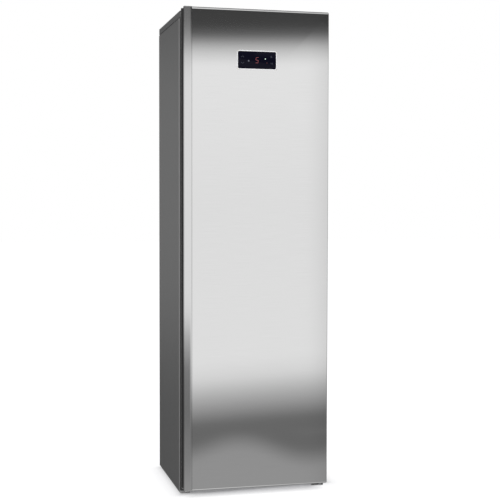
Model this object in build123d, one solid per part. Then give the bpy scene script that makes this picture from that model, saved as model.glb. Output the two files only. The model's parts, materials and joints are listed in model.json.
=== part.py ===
"""Tall freezerless refrigerator with one steel door, hinged at the right.

Millimetres. The origin lies on the floor under the middle of the refrigerator, +X is
to the right as one stands in front of it, +Y points to the back and +Z up.
"""
from build123d import *
import math
import os

# Overall size
WIDTH = 595.0
HEIGHT = 1950.0
DEPTH = 600.0

# Clearances
LAP = 0.1           # between pieces that are fastened to each other
FIT = 0.3           # between pieces that move past or are hung in each other
RUN = 0.05          # radial, between a pin or shaft and its bore

# Cabinet shell
SHEET = 1.0
SIDE_LIFT = 2.0     # lower edge of the side panels above the floor
DOOR_RISE = 3.5     # door's top above the cabinet's top
TOP_COVER_HEIGHT = 28.0
TOP_COVER_WALL = 2.5
COVER_SEAM = 3.0            # groove round the cover's lower edge
COVER_SEAM_DEPTH = 1.5
ROLLED_EDGE = 8.0   # outer radius of the cabinet's front edges
SHARP_BEND = 2.0
FRONT_FLANGE = 40.0
REAR_FLANGE = 14.0
REAR_RECESS = 40.0  # back panel inside the side panels' rear edges
BACK_RIB_PITCH = 110.0
BACK_RIB_WIDTH = 28.0
BACK_RIB_RISE = 3.0
PANEL_LAP = 12.0    # flanges that lie on a neighbouring sheet
RAIL_LIFT = 12.0    # lower edge of the front rail above the floor
RAIL_TOP = 96.0
RAIL_SHELF = 84.0

# Compressor niche
BASE_HEIGHT = 55.0
NICHE_FROM_BACK = 190.0     # where the niche's slope starts
NICHE_RUN = 45.0
NICHE_TOP = 235.0
NICHE_WALL = 42.0

# Liner
PLASTIC = 2.5
LINER_LIP = 12.0
LINER_RADIUS = 12.0
BACK_WALL = 44.0
RIB_DEPTH = 6.0
RIB_HEIGHT = 8.0
RIB_LENGTH = 200.0
DRAIN_RADIUS = 7.0
DRAIN_WALL = 1.5
DRAIN_X = 60.0
DRAIN_FROM_BACK = 22.0

# Shelves
GLASS = 4.0
SHELF_SHARE = 0.179         # from shelf to shelf, of the space over the drawers
SHELF_SETBACK = 94.0        # shelf fronts behind the cabinet's front
SHELF_AIR = 36.0            # shelf rear edges in front of the liner's back wall
SHELF_SIDE_GAP = 1.5
TRIM_WIDTH = 16.0
TRIM_LIP = 4.0
TRIM_BITE = 3.5             # from a trim's face to the edge of its glass
STOP_RISE = 14.0
CRISPER_COVER_AIR = 10.0

# Crisper drawers
CRISPER_HEIGHT = 208.0
CRISPER_WALL = 3.0
CRISPER_SIDE_GAP = 2.0      # inside the ledges of the liner
CRISPER_MIDDLE_GAP = 4.0
CRISPER_LIP = 8.0
CRISPER_LIP_HEIGHT = 16.0
CRISPER_CORNER = 10.0

# Door
DOOR_THICKNESS = 74.0
DOOR_LIFT = 30.0
GASKET_GAP = 12.0
GRIP_WIDTH = 31.5
GRIP_WALL = 2.0
GRIP_LIP = 16.0             # grip's front edge, before the finger recess
GRIP_MOUTH = 34.0
GRIP_RECESS = 23.0
GRIP_EDGE_RADIUS = 4.0
SEAM = 0.5
TOP_ROLL = 9.5
BOTTOM_ROLL = 6.0
SKIN_CORNER = 3.0
SKIN_FLANGE = 12.0
CAP_HEIGHT = 24.0
CAP_SINK = 0.5
DISPLAY_WIDTH = 152.0
DISPLAY_HEIGHT = 63.0
DISPLAY_RADIUS = 6.0
DISPLAY_X = -2.0
DISPLAY_FROM_TOP = 202.5
DISPLAY_GLASS = 2.5
BOARD_DEPTH = 8.0
BOARD_MARGIN = 8.0

# Door liner, its raised ring and the gasket
RING_WIDTH = 29.0
RING_DEPTH = 58.0
RING_MARGIN = 13.0          # from the ring to the liner's walls
RING_RADIUS = 22.0
GASKET_WIDTH = 18.0
GASKET_HEAD = 3.5
GASKET_FOOT = 5.0
GASKET_NECK = 10.0
GASKET_RADIUS = 14.0

# Door bins
BIN_DEPTH = 90.0
BIN_WALL = 2.5
BIN_LEAN = 6.0
BIN_CORNER = 6.0
BIN_HEIGHT = 78.0
BIN_SHARE = 0.22            # from bin to bin, of the way down to the bottle bin
BOTTLE_BIN_LIFT = 58.0      # over the lower end of the door liner's ring
BOTTLE_BIN_HEIGHT = 130.0
DAIRY_DROP = 223.0          # from the upper end of the ring
DAIRY_HEIGHT = 62.0
DAIRY_EAR = 34.0
LID_WALL = 2.0
LID_PIN = 3.0
STOP_WIDTH = 26.0
STOP_DROP = 70.0
STOP_REACH = 60.0
STOP_HOOK = 14.0

# Hinges
HINGE_INSET = 20.0          # pin axis from the door's right side
HINGE_BEHIND = 32.0         # pin axis behind the door's front
PIN_RADIUS = 5.0
BUSH_WALL = 3.0
BUSH_FLANGE = 3.0
BUSH_FLANGE_HEIGHT = 1.5
BUSH_LENGTH = 12.0
LEAF = 4.0
LEAF_HALF = 10.0
NOTCH_DEPTH = 12.0
BRACKET_WIDTH = 42.0
BRACKET_STEP = 20.0         # riser of the upper bracket behind the cabinet's front
BRACKET_FOOT = 55.0
BRACKET_RISE = 42.0
BRACKET_NOSE = 13.0
LOWER_LEAF_DROP = 8.0       # lower leaf's top under the door
COLLAR = 4.0
RIVET_HEAD = 2.0
SCREW_RADIUS = 2.5
SCREW_HEAD_RADIUS = 5.0
SCREW_HEAD = 2.2

# Ceiling lamp and fan
LAMP_SIZE = (130.0, 60.0, 12.0)
LAMP_BEHIND = 150.0
FAN_COVER_WIDTH = 300.0
FAN_COVER_HEIGHT = 260.0
FAN_COVER_DEPTH = 30.0
FAN_COVER_TOP_GAP = 40.0
FAN_COVER_RADIUS = 14.0
FAN_RADIUS = 44.0
FAN_TIP_GAP = 4.0
FAN_HUB = 16.0
FAN_DEPTH = 14.0
FAN_BLADES = 5
FAN_BLADE = 1.6
FAN_PITCH = 32.0
FAN_SHAFT = 2.0
FAN_MOTOR = 20.0
FAN_MOTOR_DEPTH = 10.0
GUARD_BAR = 4.0
GUARD_RING = 27.0
VENT_SLOTS = 9
VENT_WIDTH = 12.0

# Evaporator plate in the foam
EVAPORATOR_WIDTH = 400.0
EVAPORATOR_HEIGHT = 620.0
EVAPORATOR_DROP = 276.0     # from the ceiling
EVAPORATOR_THICKNESS = 1.6

# Condenser
TUBE_RADIUS = 2.4
TUBE_SIDES = 8
TUBE_PITCH = 66.0
TUBE_BEND = 32.0
TUBE_BEHIND = 20.0          # tube's axis behind the back panel
CONDENSER_WIDTH = 440.0
CONDENSER_LIFT = 95.0       # over the niche
CONDENSER_DROP = 486.5      # from the cabinet's top
RISER_OFFSET = 16.0
WIRE = 1.6
WIRES_PER_SIDE = 24
WIRE_OVERHANG = 12.0
CLIP_WIDTH = 9.0
CLIP_HEIGHT = 26.0
CLIP_WALL = 2.0
CLIPS_PER_SIDE = 3

# Compressor and what stands round it
COMPRESSOR_X = 60.0
COMPRESSOR_FROM_BACK = 95.0
COMPRESSOR_HALF = (75.0, 62.0)
COMPRESSOR_HEIGHT = 142.0
COMPRESSOR_DOME = 34.0
COMPRESSOR_BOWL = 20.0
WELD_RIM = 4.0
WELD_LEVEL = 60.0
SUCTION_OFFSET = 15.0
SUCTION_LEVEL = 60.0
DISCHARGE_LEVEL = 100.0
FOOT_PLATE = (176.0, 112.0, 2.5)
STUD_SPACING = (148.0, 84.0)
STUD_RADIUS = 3.0
GROMMET_RADIUS = 10.0
GROMMET_HEIGHT = 13.0
RAIL_LEVEL = 36.0
RAIL_FLANGE = 16.0
RAIL_GAUGE = 2.0
RAIL_FRONT_GAP = 24.0
RAIL_REAR_GAP = 8.0
TERMINAL = (40.0, 46.0, 62.0)
GLAND_RADIUS = 7.0
GLAND_BORE = 4.0
GLAND_DEPTH = 17.0
TRAY_SIZE = (190.0, 112.0, 26.0)
TRAY_SHIFT = 10.0
TRAY_WALL = 2.0
TRAY_RADIUS = 18.0
DRYER_RADIUS = 9.0
DRYER_LENGTH = 92.0
DRYER_NECK = 12.0
PIPE_BEND = 14.0
PIPE_RUN = 45.0
CAPILLARY_RADIUS = 1.2
CAPILLARY_DROP = 30.0
CAPILLARY_OFFSET = 20.0

# Rollers and levelling feet
ROLLER_RADIUS = 14.0
ROLLER_WIDTH = 18.0
ROLLER_INSET = 42.0
ROLLER_FROM_BACK = 34.0
AXLE_RADIUS = 4.0
EAR = 2.5
EAR_RADIUS = 9.0
FOOT_INSET = 48.0
FOOT_BEHIND = 62.0
FOOT_RADIUS = 17.0
STEM_RADIUS = 5.0
STEM_LENGTH = 42.0
BOSS_WALL = 4.0
BOSS_HEIGHT = 14.0

# Places that follow from the sizes
LEFT, RIGHT = -WIDTH / 2, WIDTH / 2
DOOR_FRONT = -DEPTH / 2
DOOR_BACK = DOOR_FRONT + DOOR_THICKNESS
CASE_BACK = DOOR_BACK - PLASTIC - LAP        # rear edge of the door's outer case
CAB_FRONT = DOOR_BACK + GASKET_GAP
CAB_BACK = DEPTH / 2
CAB_TOP = HEIGHT - DOOR_RISE
SIDE_TOP = CAB_TOP - TOP_COVER_HEIGHT
BACK_FACE = CAB_BACK - REAR_RECESS           # rear face of the back panel
SHELL_HALF = WIDTH / 2 - SHEET - LAP         # half the width between the side panels
FRAME_FACE = CAB_FRONT + SHEET + LAP         # sheets lapped behind the front flanges
INNER_HALF = WIDTH / 2 - FRONT_FLANGE - LAP - PLASTIC
FLOOR = RAIL_TOP + LAP + PLASTIC
CEILING = SIDE_TOP - FRONT_FLANGE - LAP - PLASTIC
INNER_BACK = BACK_FACE - BACK_WALL
NICHE_START = CAB_BACK - NICHE_FROM_BACK
STEP_START = NICHE_START - NICHE_WALL
STEP_TOP = NICHE_TOP + NICHE_WALL
SHELF_FRONT = CAB_FRONT + SHELF_SETBACK
SHELF_BACK = INNER_BACK - SHELF_AIR
SEAM_X = LEFT + GRIP_WIDTH
HINGE_X = RIGHT - HINGE_INSET
HINGE_Y = DOOR_FRONT + HINGE_BEHIND
NOTCH_FLOOR = HEIGHT - NOTCH_DEPTH
CAP_BOTTOM = DOOR_LIFT + CAP_SINK            # underside of the door's bottom cap
UPPER_LEAF_Z = NOTCH_FLOOR + BUSH_FLANGE_HEIGHT + FIT
LOWER_LEAF_Z = DOOR_LIFT - LOWER_LEAF_DROP - LEAF
RING_HALF = INNER_HALF - RING_MARGIN
RING_BOTTOM = FLOOR + RING_MARGIN
RING_TOP = CEILING - RING_MARGIN
BIN_HALF = RING_HALF - RING_WIDTH - FIT
BIN_BACK = DOOR_BACK + BIN_DEPTH             # the bins' faces towards the shelves
TUBE_Y = BACK_FACE + TUBE_BEHIND
CONDENSER_BOTTOM = NICHE_TOP + CONDENSER_LIFT
CONDENSER_TOP = CAB_TOP - CONDENSER_DROP
EVAPORATOR_LEVEL = CEILING - EVAPORATOR_DROP - EVAPORATOR_HEIGHT
COMPRESSOR_Y = CAB_BACK - COMPRESSOR_FROM_BACK
MOUNT_TOP = RAIL_LEVEL + LAP + GROMMET_HEIGHT
DISPLAY_Z = HEIGHT - DISPLAY_FROM_TOP
FAN_Z = CEILING - FAN_COVER_TOP_GAP - FAN_COVER_HEIGHT / 2
CRISPER_COVER_Z = FLOOR + FIT + CRISPER_HEIGHT + TRIM_LIP + FIT
SHELF_PITCH = SHELF_SHARE * (CEILING - CRISPER_COVER_Z)
SHELF_HEIGHTS = tuple(CRISPER_COVER_Z + SHELF_PITCH * i for i in (1, 2, 3, 4))
DAIRY_LEVEL = RING_TOP - DAIRY_DROP
BOTTLE_BIN_LEVEL = RING_BOTTOM + BOTTLE_BIN_LIFT
BIN_PITCH = BIN_SHARE * (DAIRY_LEVEL - BOTTLE_BIN_LEVEL)
BIN_LEVELS = tuple(DAIRY_LEVEL - BIN_PITCH * i for i in (1, 2, 3))
LID_Z = DAIRY_LEVEL + DAIRY_HEIGHT + DAIRY_EAR - 2 * LID_PIN
LID_Y = DOOR_BACK + FIT + 3 * LID_PIN


def block(x, y, z):
    """A block given by its low and high side along each axis."""
    spans = (x, y, z)
    middle = [(low + high) / 2 for low, high in spans]
    return Pos(*middle) * Box(*[high - low for low, high in spans])


def across(outline, x):
    """A solid whose outline lies in the YZ plane, from x[0] to x[1]."""
    return extrude(Plane.YZ.offset(x[0]) * outline, amount=x[1] - x[0], dir=(1, 0, 0))


def upright(outline, z):
    """A solid whose outline lies in the XY plane, from z[0] to z[1]."""
    return extrude(Plane.XY.offset(z[0]) * outline, amount=z[1] - z[0], dir=(0, 0, 1))


def outline_of(points):
    return Polygon(*points, align=None)


def round_bar(radius, start, length, axis=(0, 0, 1)):
    """A cylinder from a start point along an axis."""
    plane = Plane(origin=start, z_dir=axis)
    return extrude(plane * Circle(radius), amount=length, dir=axis)


def bent(points, radii, side, gauge=SHEET):
    """The section of a bent sheet whose outer face follows the points."""
    path = FilletPolyline(*points, radius=radii)
    return make_face(offset(path, amount=gauge, side=side))


def faced(width, height, radius, x, z, y):
    """A rounded plate that faces the front, from y[0] to y[1]."""
    plane = Plane(origin=(x, y[0], z), x_dir=(1, 0, 0), z_dir=(0, 1, 0))
    return extrude(plane * RectangleRounded(width, height, radius), amount=y[1] - y[0],
                   dir=(0, 1, 0))


def pipe(points, radius, bend):
    """A faceted tube along straight runs that are joined by arcs."""
    path = FilletPolyline(*points, radius=bend)
    start = Plane(origin=path @ 0, z_dir=path % 0, x_dir=(0, 1, 0))
    turn = 180 / TUBE_SIDES
    section = RegularPolygon(radius, TUBE_SIDES, rotation=turn, major_radius=False)
    return sweep(start * section, path=path)


def screw(place, axis, grip):
    """A pan-head screw: its head lies on the place, its shank points along the axis."""
    head = round_bar(SCREW_HEAD_RADIUS, place, SCREW_HEAD, tuple(-a for a in axis))
    return head + round_bar(SCREW_RADIUS, place, grip, axis)


def between_panels(shape):
    """Cuts a shape to the plan of the space between the side panels' rolled edges."""
    depth = CAB_BACK - FRAME_FACE
    plan = Pos(0, FRAME_FACE + depth / 2) * RectangleRounded(
        2 * SHELL_HALF, depth, ROLLED_EDGE - SHEET - LAP)
    return shape & upright(plan, (0, HEIGHT))


def side_panel_left():
    section = bent([(LEFT + FRONT_FLANGE, CAB_FRONT), (LEFT, CAB_FRONT), (LEFT, CAB_BACK),
                    (LEFT + REAR_FLANGE, CAB_BACK)], [ROLLED_EDGE, SHARP_BEND], Side.RIGHT)
    return upright(section, (SIDE_LIFT, SIDE_TOP))


def top_sheet():
    """Sheet over the foam, with a front flange for the gasket to close on."""
    section = bent([(FRAME_FACE, SIDE_TOP - FRONT_FLANGE), (FRAME_FACE, SIDE_TOP),
                    (BACK_FACE, SIDE_TOP)], SHARP_BEND, Side.RIGHT)
    return between_panels(across(section, (-SHELL_HALF, SHELL_HALF)))


def top_cover():
    """Cap over the cabinet, hollow below, with a slot for the upper hinge leaf."""
    outside = Pos(0, (CAB_FRONT + CAB_BACK) / 2) * RectangleRounded(
        WIDTH, CAB_BACK - CAB_FRONT, ROLLED_EDGE)
    cap = upright(outside, (SIDE_TOP + LAP, CAB_TOP))
    cap = fillet(cap.faces().sort_by(Axis.Z)[-1].edges(), SHARP_BEND)
    cap -= upright(offset(outside, -TOP_COVER_WALL), (SIDE_TOP, CAB_TOP - TOP_COVER_WALL))
    cap -= upright(outside - offset(outside, -COVER_SEAM_DEPTH), (SIDE_TOP, SIDE_TOP + COVER_SEAM))
    slot_half = LEAF_HALF + 1.5
    cap -= block((HINGE_X - slot_half, HINGE_X + slot_half),
                 (CAB_FRONT - 1, CAB_FRONT + 2 * TOP_COVER_WALL),
                 (UPPER_LEAF_Z - 1, UPPER_LEAF_Z + LEAF + 1))
    return cap


def base_front_rail():
    """Channel under the door, rolled at its lower edge, with bosses for the feet."""
    section = bent([(FRAME_FACE + RAIL_SHELF, RAIL_LIFT), (FRAME_FACE, RAIL_LIFT),
                    (FRAME_FACE, RAIL_TOP)], ROLLED_EDGE, Side.RIGHT)
    rail = between_panels(across(section, (-SHELL_HALF, SHELL_HALF)))
    for x in foot_places():
        rail += round_bar(STEM_RADIUS + BOSS_WALL, (x, foot_y(), RAIL_LIFT), BOSS_HEIGHT)
    for x in foot_places():
        rail -= round_bar(STEM_RADIUS + RUN, (x, foot_y(), RAIL_LIFT - 1), BOSS_HEIGHT + 2)
    return rail


def base_points(shift):
    """Underside of the foam along the base and over the niche, shifted upwards."""
    return [(NICHE_START - shift, BASE_HEIGHT + shift),
            (NICHE_START + NICHE_RUN - shift, NICHE_TOP + shift)]


def base_pan():
    front = FRAME_FACE + SHEET + LAP
    rear = BACK_FACE - SHEET - LAP
    points = [(front, BASE_HEIGHT - PANEL_LAP), (front, BASE_HEIGHT)] + base_points(0)
    section = bent(points + [(rear, NICHE_TOP)], SHARP_BEND, Side.RIGHT)
    pan = between_panels(across(section, (-SHELL_HALF, SHELL_HALF)))
    pan -= drain_bore(LAP, NICHE_TOP - 10, NICHE_TOP + 10)
    for x, y in pipe_entries():
        pan -= round_bar(TUBE_RADIUS + FIT, (x, y, NICHE_TOP - 10), 20)
    return pan


def back_panel():
    """Rear sheet with pressed ribs, its side flanges turned back onto the side panels."""
    face, half = BACK_FACE - SHEET, BACK_RIB_WIDTH / 2
    points = [(-SHELL_HALF, BACK_FACE + PANEL_LAP), (-SHELL_HALF, face)]
    for x in (-BACK_RIB_PITCH, 0, BACK_RIB_PITCH):
        points += [(x - half, face), (x - half + BACK_RIB_RISE, face + BACK_RIB_RISE),
                   (x + half - BACK_RIB_RISE, face + BACK_RIB_RISE), (x + half, face)]
    points += [(SHELL_HALF, face), (SHELL_HALF, BACK_FACE + PANEL_LAP)]
    section = bent(points, SHARP_BEND, Side.LEFT)
    return upright(section, (NICHE_TOP - PANEL_LAP, SIDE_TOP - SHEET - LAP))


def tub(grow):
    """The space inside the liner, grown by a wall, running out past its front."""
    front = CAB_FRONT - 5 * LINER_RADIUS
    points = [(front, FLOOR), (STEP_START, FLOOR), (STEP_START + NICHE_RUN, STEP_TOP),
              (INNER_BACK, STEP_TOP), (INNER_BACK, CEILING), (front, CEILING)]
    outline = outline_of(points)
    outline = fillet(outline.vertices(), LINER_RADIUS)
    if grow:
        outline = offset(outline, grow)
    half = INNER_HALF + grow
    space = across(outline, (-half, half))
    ends = space.faces().sort_by(Axis.X)
    space = fillet(ends[0].edges() + ends[-1].edges(), LINER_RADIUS - PLASTIC)
    return space - block((-WIDTH, WIDTH), (front - WIDTH, CAB_FRONT), (0, HEIGHT))


def shelf_ribs():
    """Ledges on both side walls that carry the shelves and the crisper cover."""
    ribs = None
    for level in SHELF_HEIGHTS + (CRISPER_COVER_Z,):
        low = level - FIT - RIB_HEIGHT
        ledge = outline_of([(0, 0), (RIB_DEPTH, RIB_HEIGHT / 2), (RIB_DEPTH, RIB_HEIGHT),
                            (0, RIB_HEIGHT)])
        plane = Plane(origin=(-INNER_HALF, SHELF_FRONT + 2 * TRIM_WIDTH, low),
                      x_dir=(1, 0, 0), z_dir=(0, -1, 0))
        left = extrude(plane * ledge, amount=RIB_LENGTH, dir=(0, 1, 0))
        pair = left + mirror(left, about=Plane.YZ)
        ribs = pair if ribs is None else ribs + pair
    return ribs


def inner_liner():
    """Thermoformed tub with its front lip, shelf ribs and drain hole."""
    lip_front = FRAME_FACE + SHEET + LAP
    lip = block((-INNER_HALF - PLASTIC - LINER_LIP, INNER_HALF + PLASTIC + LINER_LIP),
                (lip_front, lip_front + PLASTIC),
                (FLOOR - PLASTIC - LINER_LIP, CEILING + PLASTIC + LINER_LIP))
    liner = tub(PLASTIC) + lip - tub(0) + shelf_ribs()
    return liner - drain_bore(-DRAIN_WALL, STEP_TOP - 10, STEP_TOP + 10)


def drain_bore(grow, low, high):
    place = (DRAIN_X, INNER_BACK - DRAIN_FROM_BACK, low)
    return round_bar(DRAIN_RADIUS + grow, place, high - low)


def drain_tube():
    low = MOUNT_TOP + COMPRESSOR_HEIGHT + TRAY_SIZE[2] / 2
    high = STEP_TOP - PLASTIC - LAP
    return drain_bore(0, low, high) - drain_bore(-DRAIN_WALL, low - 1, high + 1)


def cabinet_foam():
    """Insulation between the shell and the liner."""
    front = FRAME_FACE + SHEET + PLASTIC + 2 * LAP
    rear = BACK_FACE - SHEET - LAP
    top = SIDE_TOP - SHEET - LAP
    (slope_y, low), (slope_end, high) = base_points(LAP)
    points = [(front, low), (slope_y, low), (slope_end, high), (rear, high), (rear, top),
              (front, top)]
    outline = outline_of(points)
    bend = outline.vertices().sort_by_distance(Vertex(slope_y, low, 0))[0]
    outline = fillet(bend, SHARP_BEND)
    foam = between_panels(across(outline, (-SHELL_HALF + LAP, SHELL_HALF - LAP)))
    foam -= tub(PLASTIC + LAP)
    foam -= evaporator_space(LAP)
    foam -= drain_bore(LAP, NICHE_TOP - 10, STEP_TOP)
    for x, y in pipe_entries():
        foam -= round_bar(TUBE_RADIUS + FIT, (x, y, NICHE_TOP - 10), 10 + PIPE_BEND + LAP)
    return foam


def evaporator_space(grow):
    front = INNER_BACK + PLASTIC + LAP
    return block((-EVAPORATOR_WIDTH / 2 - grow, EVAPORATOR_WIDTH / 2 + grow),
                 (front - LAP, front + EVAPORATOR_THICKNESS + grow),
                 (EVAPORATOR_LEVEL - grow, EVAPORATOR_LEVEL + EVAPORATOR_HEIGHT + grow))


def evaporator_plate():
    front = INNER_BACK + PLASTIC + LAP
    middle = EVAPORATOR_LEVEL + EVAPORATOR_HEIGHT / 2
    return faced(EVAPORATOR_WIDTH, EVAPORATOR_HEIGHT, LINER_RADIUS, 0, middle,
                 (front, front + EVAPORATOR_THICKNESS))


def shelf_glass(level, rear):
    half = INNER_HALF - SHELF_SIDE_GAP
    return block((-half, half), (SHELF_FRONT + TRIM_BITE, rear - TRIM_BITE),
                 (level, level + GLASS))


def shelf_trims(level, rear):
    """Front trim with a rounded nose and rear trim with an upstand, for one shelf."""
    half = INNER_HALF - SHELF_SIDE_GAP
    low, high = level - TRIM_LIP, level + GLASS + TRIM_LIP
    glass_gap = block((-WIDTH, WIDTH), (SHELF_FRONT + TRIM_BITE - LAP, rear - TRIM_BITE + LAP),
                      (level - LAP, level + GLASS + LAP))
    nose = outline_of([(SHELF_FRONT, low), (SHELF_FRONT + TRIM_WIDTH, low),
                       (SHELF_FRONT + TRIM_WIDTH, high), (SHELF_FRONT, high)])
    nose = fillet(nose.vertices().group_by(Axis.X)[0], TRIM_BITE)
    front = across(nose, (-half, half)) - glass_gap
    stop = outline_of([(rear - TRIM_WIDTH, low), (rear, low), (rear, high + STOP_RISE),
                       (rear - TRIM_BITE, high + STOP_RISE), (rear - TRIM_BITE, high),
                       (rear - TRIM_WIDTH, high)])
    back = across(stop, (-half, half)) - glass_gap
    return [front, back]


def tray(points, x, wall, corner):
    """An open tray: its side outline runs from the low front point round to the top."""
    outline = fillet(outline_of(points).vertices().group_by(Axis.Y)[0], corner)
    body = across(outline, x)
    raised = [(y, z + 2 * wall if z > points[0][1] else z) for y, z in points]
    hollow = fillet(outline_of(raised).vertices().group_by(Axis.Y)[0], corner)
    return body - across(offset(hollow, -wall), (x[0] + wall, x[1] - wall))


def crisper(x):
    """Vegetable drawer with a sloped back over the niche and a pull lip in front."""
    low, high = FLOOR + FIT, FLOOR + FIT + CRISPER_HEIGHT
    front = SHELF_FRONT + CRISPER_LIP
    rear = STEP_START - LINER_RADIUS
    lean = NICHE_RUN * CRISPER_HEIGHT / (STEP_TOP - FLOOR)
    points = [(front, low), (rear, low), (rear + lean, high), (front, high)]
    drawer = tray(points, x, CRISPER_WALL, CRISPER_CORNER)
    lip = outline_of([(front, high), (SHELF_FRONT, high),
                      (SHELF_FRONT, high - CRISPER_LIP_HEIGHT),
                      (SHELF_FRONT + CRISPER_WALL, high - CRISPER_LIP_HEIGHT),
                      (SHELF_FRONT + CRISPER_WALL, high - CRISPER_WALL),
                      (front, high - CRISPER_WALL)])
    return drawer + across(lip, x)


def lamp_cover():
    length, depth, height = LAMP_SIZE
    y = CAB_FRONT + LAMP_BEHIND
    plate = upright(Pos(0, y) * RectangleRounded(length, depth, depth / 4),
                    (CEILING - LAP - height, CEILING - LAP))
    return fillet(plate.faces().sort_by(Axis.Z)[0].edges(), height / 3)


def fan_cover():
    """Air-duct cover on the back wall, with a ring guard over the fan."""
    rear = INNER_BACK - LAP
    front = rear - FAN_COVER_DEPTH
    cover = faced(FAN_COVER_WIDTH, FAN_COVER_HEIGHT, FAN_COVER_RADIUS, 0, FAN_Z, (front, rear))
    cover = fillet(cover.faces().sort_by(Axis.Y)[0].edges(), FAN_COVER_RADIUS / 2)
    cover -= faced(FAN_COVER_WIDTH - 2 * PLASTIC, FAN_COVER_HEIGHT - 2 * PLASTIC,
                   FAN_COVER_RADIUS - PLASTIC, 0, FAN_Z, (front + PLASTIC, rear + 1))
    opening = FAN_RADIUS + FAN_TIP_GAP
    mouth = Circle(opening)
    mouth -= Circle(GUARD_RING + GUARD_BAR / 2) - Circle(GUARD_RING - GUARD_BAR / 2)
    for angle in (0, 60, 120):
        mouth -= Rot(0, 0, angle) * Rectangle(2 * opening, GUARD_BAR)
    plane = Plane(origin=(0, front - 1, FAN_Z), x_dir=(1, 0, 0), z_dir=(0, 1, 0))
    cover -= extrude(plane * mouth, amount=PLASTIC + 2, dir=(0, 1, 0))
    pitch = 2 * VENT_WIDTH
    for i in range(VENT_SLOTS):
        x = (i - (VENT_SLOTS - 1) / 2) * pitch
        low = FAN_Z - FAN_COVER_HEIGHT / 2
        cover -= block((x - VENT_WIDTH / 2, x + VENT_WIDTH / 2),
                       (front + FAN_COVER_DEPTH / 3, rear - PLASTIC), (low - 1, low + PLASTIC + 1))
    return cover


def fan_axis(y):
    return (0, y, FAN_Z)


def fan_motor():
    rear = INNER_BACK - LAP
    motor = round_bar(FAN_MOTOR, fan_axis(rear), FAN_MOTOR_DEPTH, (0, -1, 0))
    return motor + round_bar(FAN_SHAFT, fan_axis(rear), FAN_MOTOR_DEPTH + FAN_DEPTH, (0, -1, 0))


def fan_rotor():
    """Axial fan: a hub with pitched blades, cut to a round outline."""
    rear = INNER_BACK - LAP - FAN_MOTOR_DEPTH - FIT
    hub = round_bar(FAN_HUB, fan_axis(rear), FAN_DEPTH, (0, -1, 0))
    blades = None
    for i in range(FAN_BLADES):
        blade = Rot(0, i * 360 / FAN_BLADES, 0) * Rot(FAN_PITCH, 0, 0) * Box(
            2 * FAN_RADIUS, FAN_DEPTH * 0.75, FAN_BLADE)
        blade -= block((-WIDTH, 0), (-WIDTH, WIDTH), (-WIDTH, WIDTH)).moved(
            Rot(0, i * 360 / FAN_BLADES, 0))
        blades = blade if blades is None else blades + blade
    blades = Pos(0, rear - FAN_DEPTH / 2, FAN_Z) * blades
    blades &= round_bar(FAN_RADIUS, fan_axis(rear), FAN_DEPTH, (0, -1, 0))
    bore = round_bar(FAN_SHAFT + RUN, fan_axis(rear + 1), FAN_DEPTH + 2, (0, -1, 0))
    return hub + blades - bore


def case_block(inset, z, front_radii, x):
    """The door's outer form from the side, drawn in by a wall."""
    low, high = z
    front = DOOR_FRONT + inset
    outline = outline_of([(front, low), (CASE_BACK, low), (CASE_BACK, high), (front, high)])
    corners = outline.vertices().group_by(Axis.X)[0].sort_by(Axis.Y)
    for corner, radius in zip(corners, front_radii):
        if radius > inset:
            outline = fillet(outline.vertices().sort_by_distance(corner)[0], radius - inset)
    return across(outline, x)


def skin_form(inset, x_low, rear):
    """Inside or outside of the steel door panel, rolled at the top and bottom."""
    z = (DOOR_LIFT + inset, HEIGHT - inset)
    form = case_block(inset, z, (BOTTOM_ROLL, TOP_ROLL), (x_low, RIGHT - inset))
    end = form.faces().sort_by(Axis.X)[-1]
    rear_edge = end.edges().sort_by(Axis.Y)[-1]
    rolled = [edge for edge in end.edges() if edge.center().Y < rear_edge.center().Y - 1]
    form = fillet(rolled, SKIN_CORNER - inset)
    if rear > CASE_BACK:
        form += block((x_low, RIGHT - inset), (CASE_BACK - 1, rear), z)
    return form


def door_skin():
    """Steel front panel: rolled edges, a full right side, and the display window."""
    skin = skin_form(0, SEAM_X + SEAM, CASE_BACK) - skin_form(SHEET, SEAM_X - 1, CASE_BACK + 5)
    flange = DOOR_FRONT + SKIN_FLANGE
    for z in ((DOOR_LIFT - 1, DOOR_LIFT + SKIN_CORNER), (HEIGHT - SKIN_CORNER, HEIGHT + 1)):
        skin -= block((LEFT, RIGHT - SHEET), (flange, CASE_BACK + 1), z)
    skin -= hinge_notch()
    return skin - display_space(0, (DOOR_FRONT - 1, DOOR_FRONT + 2 * SHEET))


def display_space(grow, y):
    return faced(DISPLAY_WIDTH + 2 * grow, DISPLAY_HEIGHT + 2 * grow, DISPLAY_RADIUS + grow,
                 DISPLAY_X, DISPLAY_Z, y)


def display_window():
    return display_space(-FIT, (DOOR_FRONT, DOOR_FRONT + DISPLAY_GLASS))


def display_board():
    front = DOOR_FRONT + DISPLAY_GLASS + LAP
    return display_space(-BOARD_MARGIN + DISPLAY_RADIUS, (front, front + BOARD_DEPTH))


def hinge_notch():
    """Space over the door's corner in which the upper leaf lies and turns."""
    return block((HINGE_X - LEAF_HALF - 3, RIGHT + 1),
                 (DOOR_FRONT + SKIN_FLANGE, DOOR_BACK + 1), (NOTCH_FLOOR, HEIGHT + 1))


def cap_x():
    return (SEAM_X + LAP, RIGHT - SHEET - LAP)


def door_cap(z, roll, shelf_z):
    """A plastic end cap of the door, stepped down under the skin's flange."""
    low, high = z
    cap = block(cap_x(), (DOOR_FRONT + SKIN_FLANGE + LAP, CASE_BACK), (low, high))
    inner_low, inner_high = max(low, shelf_z[0]), min(high, shelf_z[1])
    front_x = (cap_x()[0], RIGHT - SKIN_CORNER - LAP)
    front = block(front_x, (DOOR_FRONT + roll + SHEET, DOOR_FRONT + SKIN_FLANGE + 2),
                  (inner_low, inner_high))
    return cap + front


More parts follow.
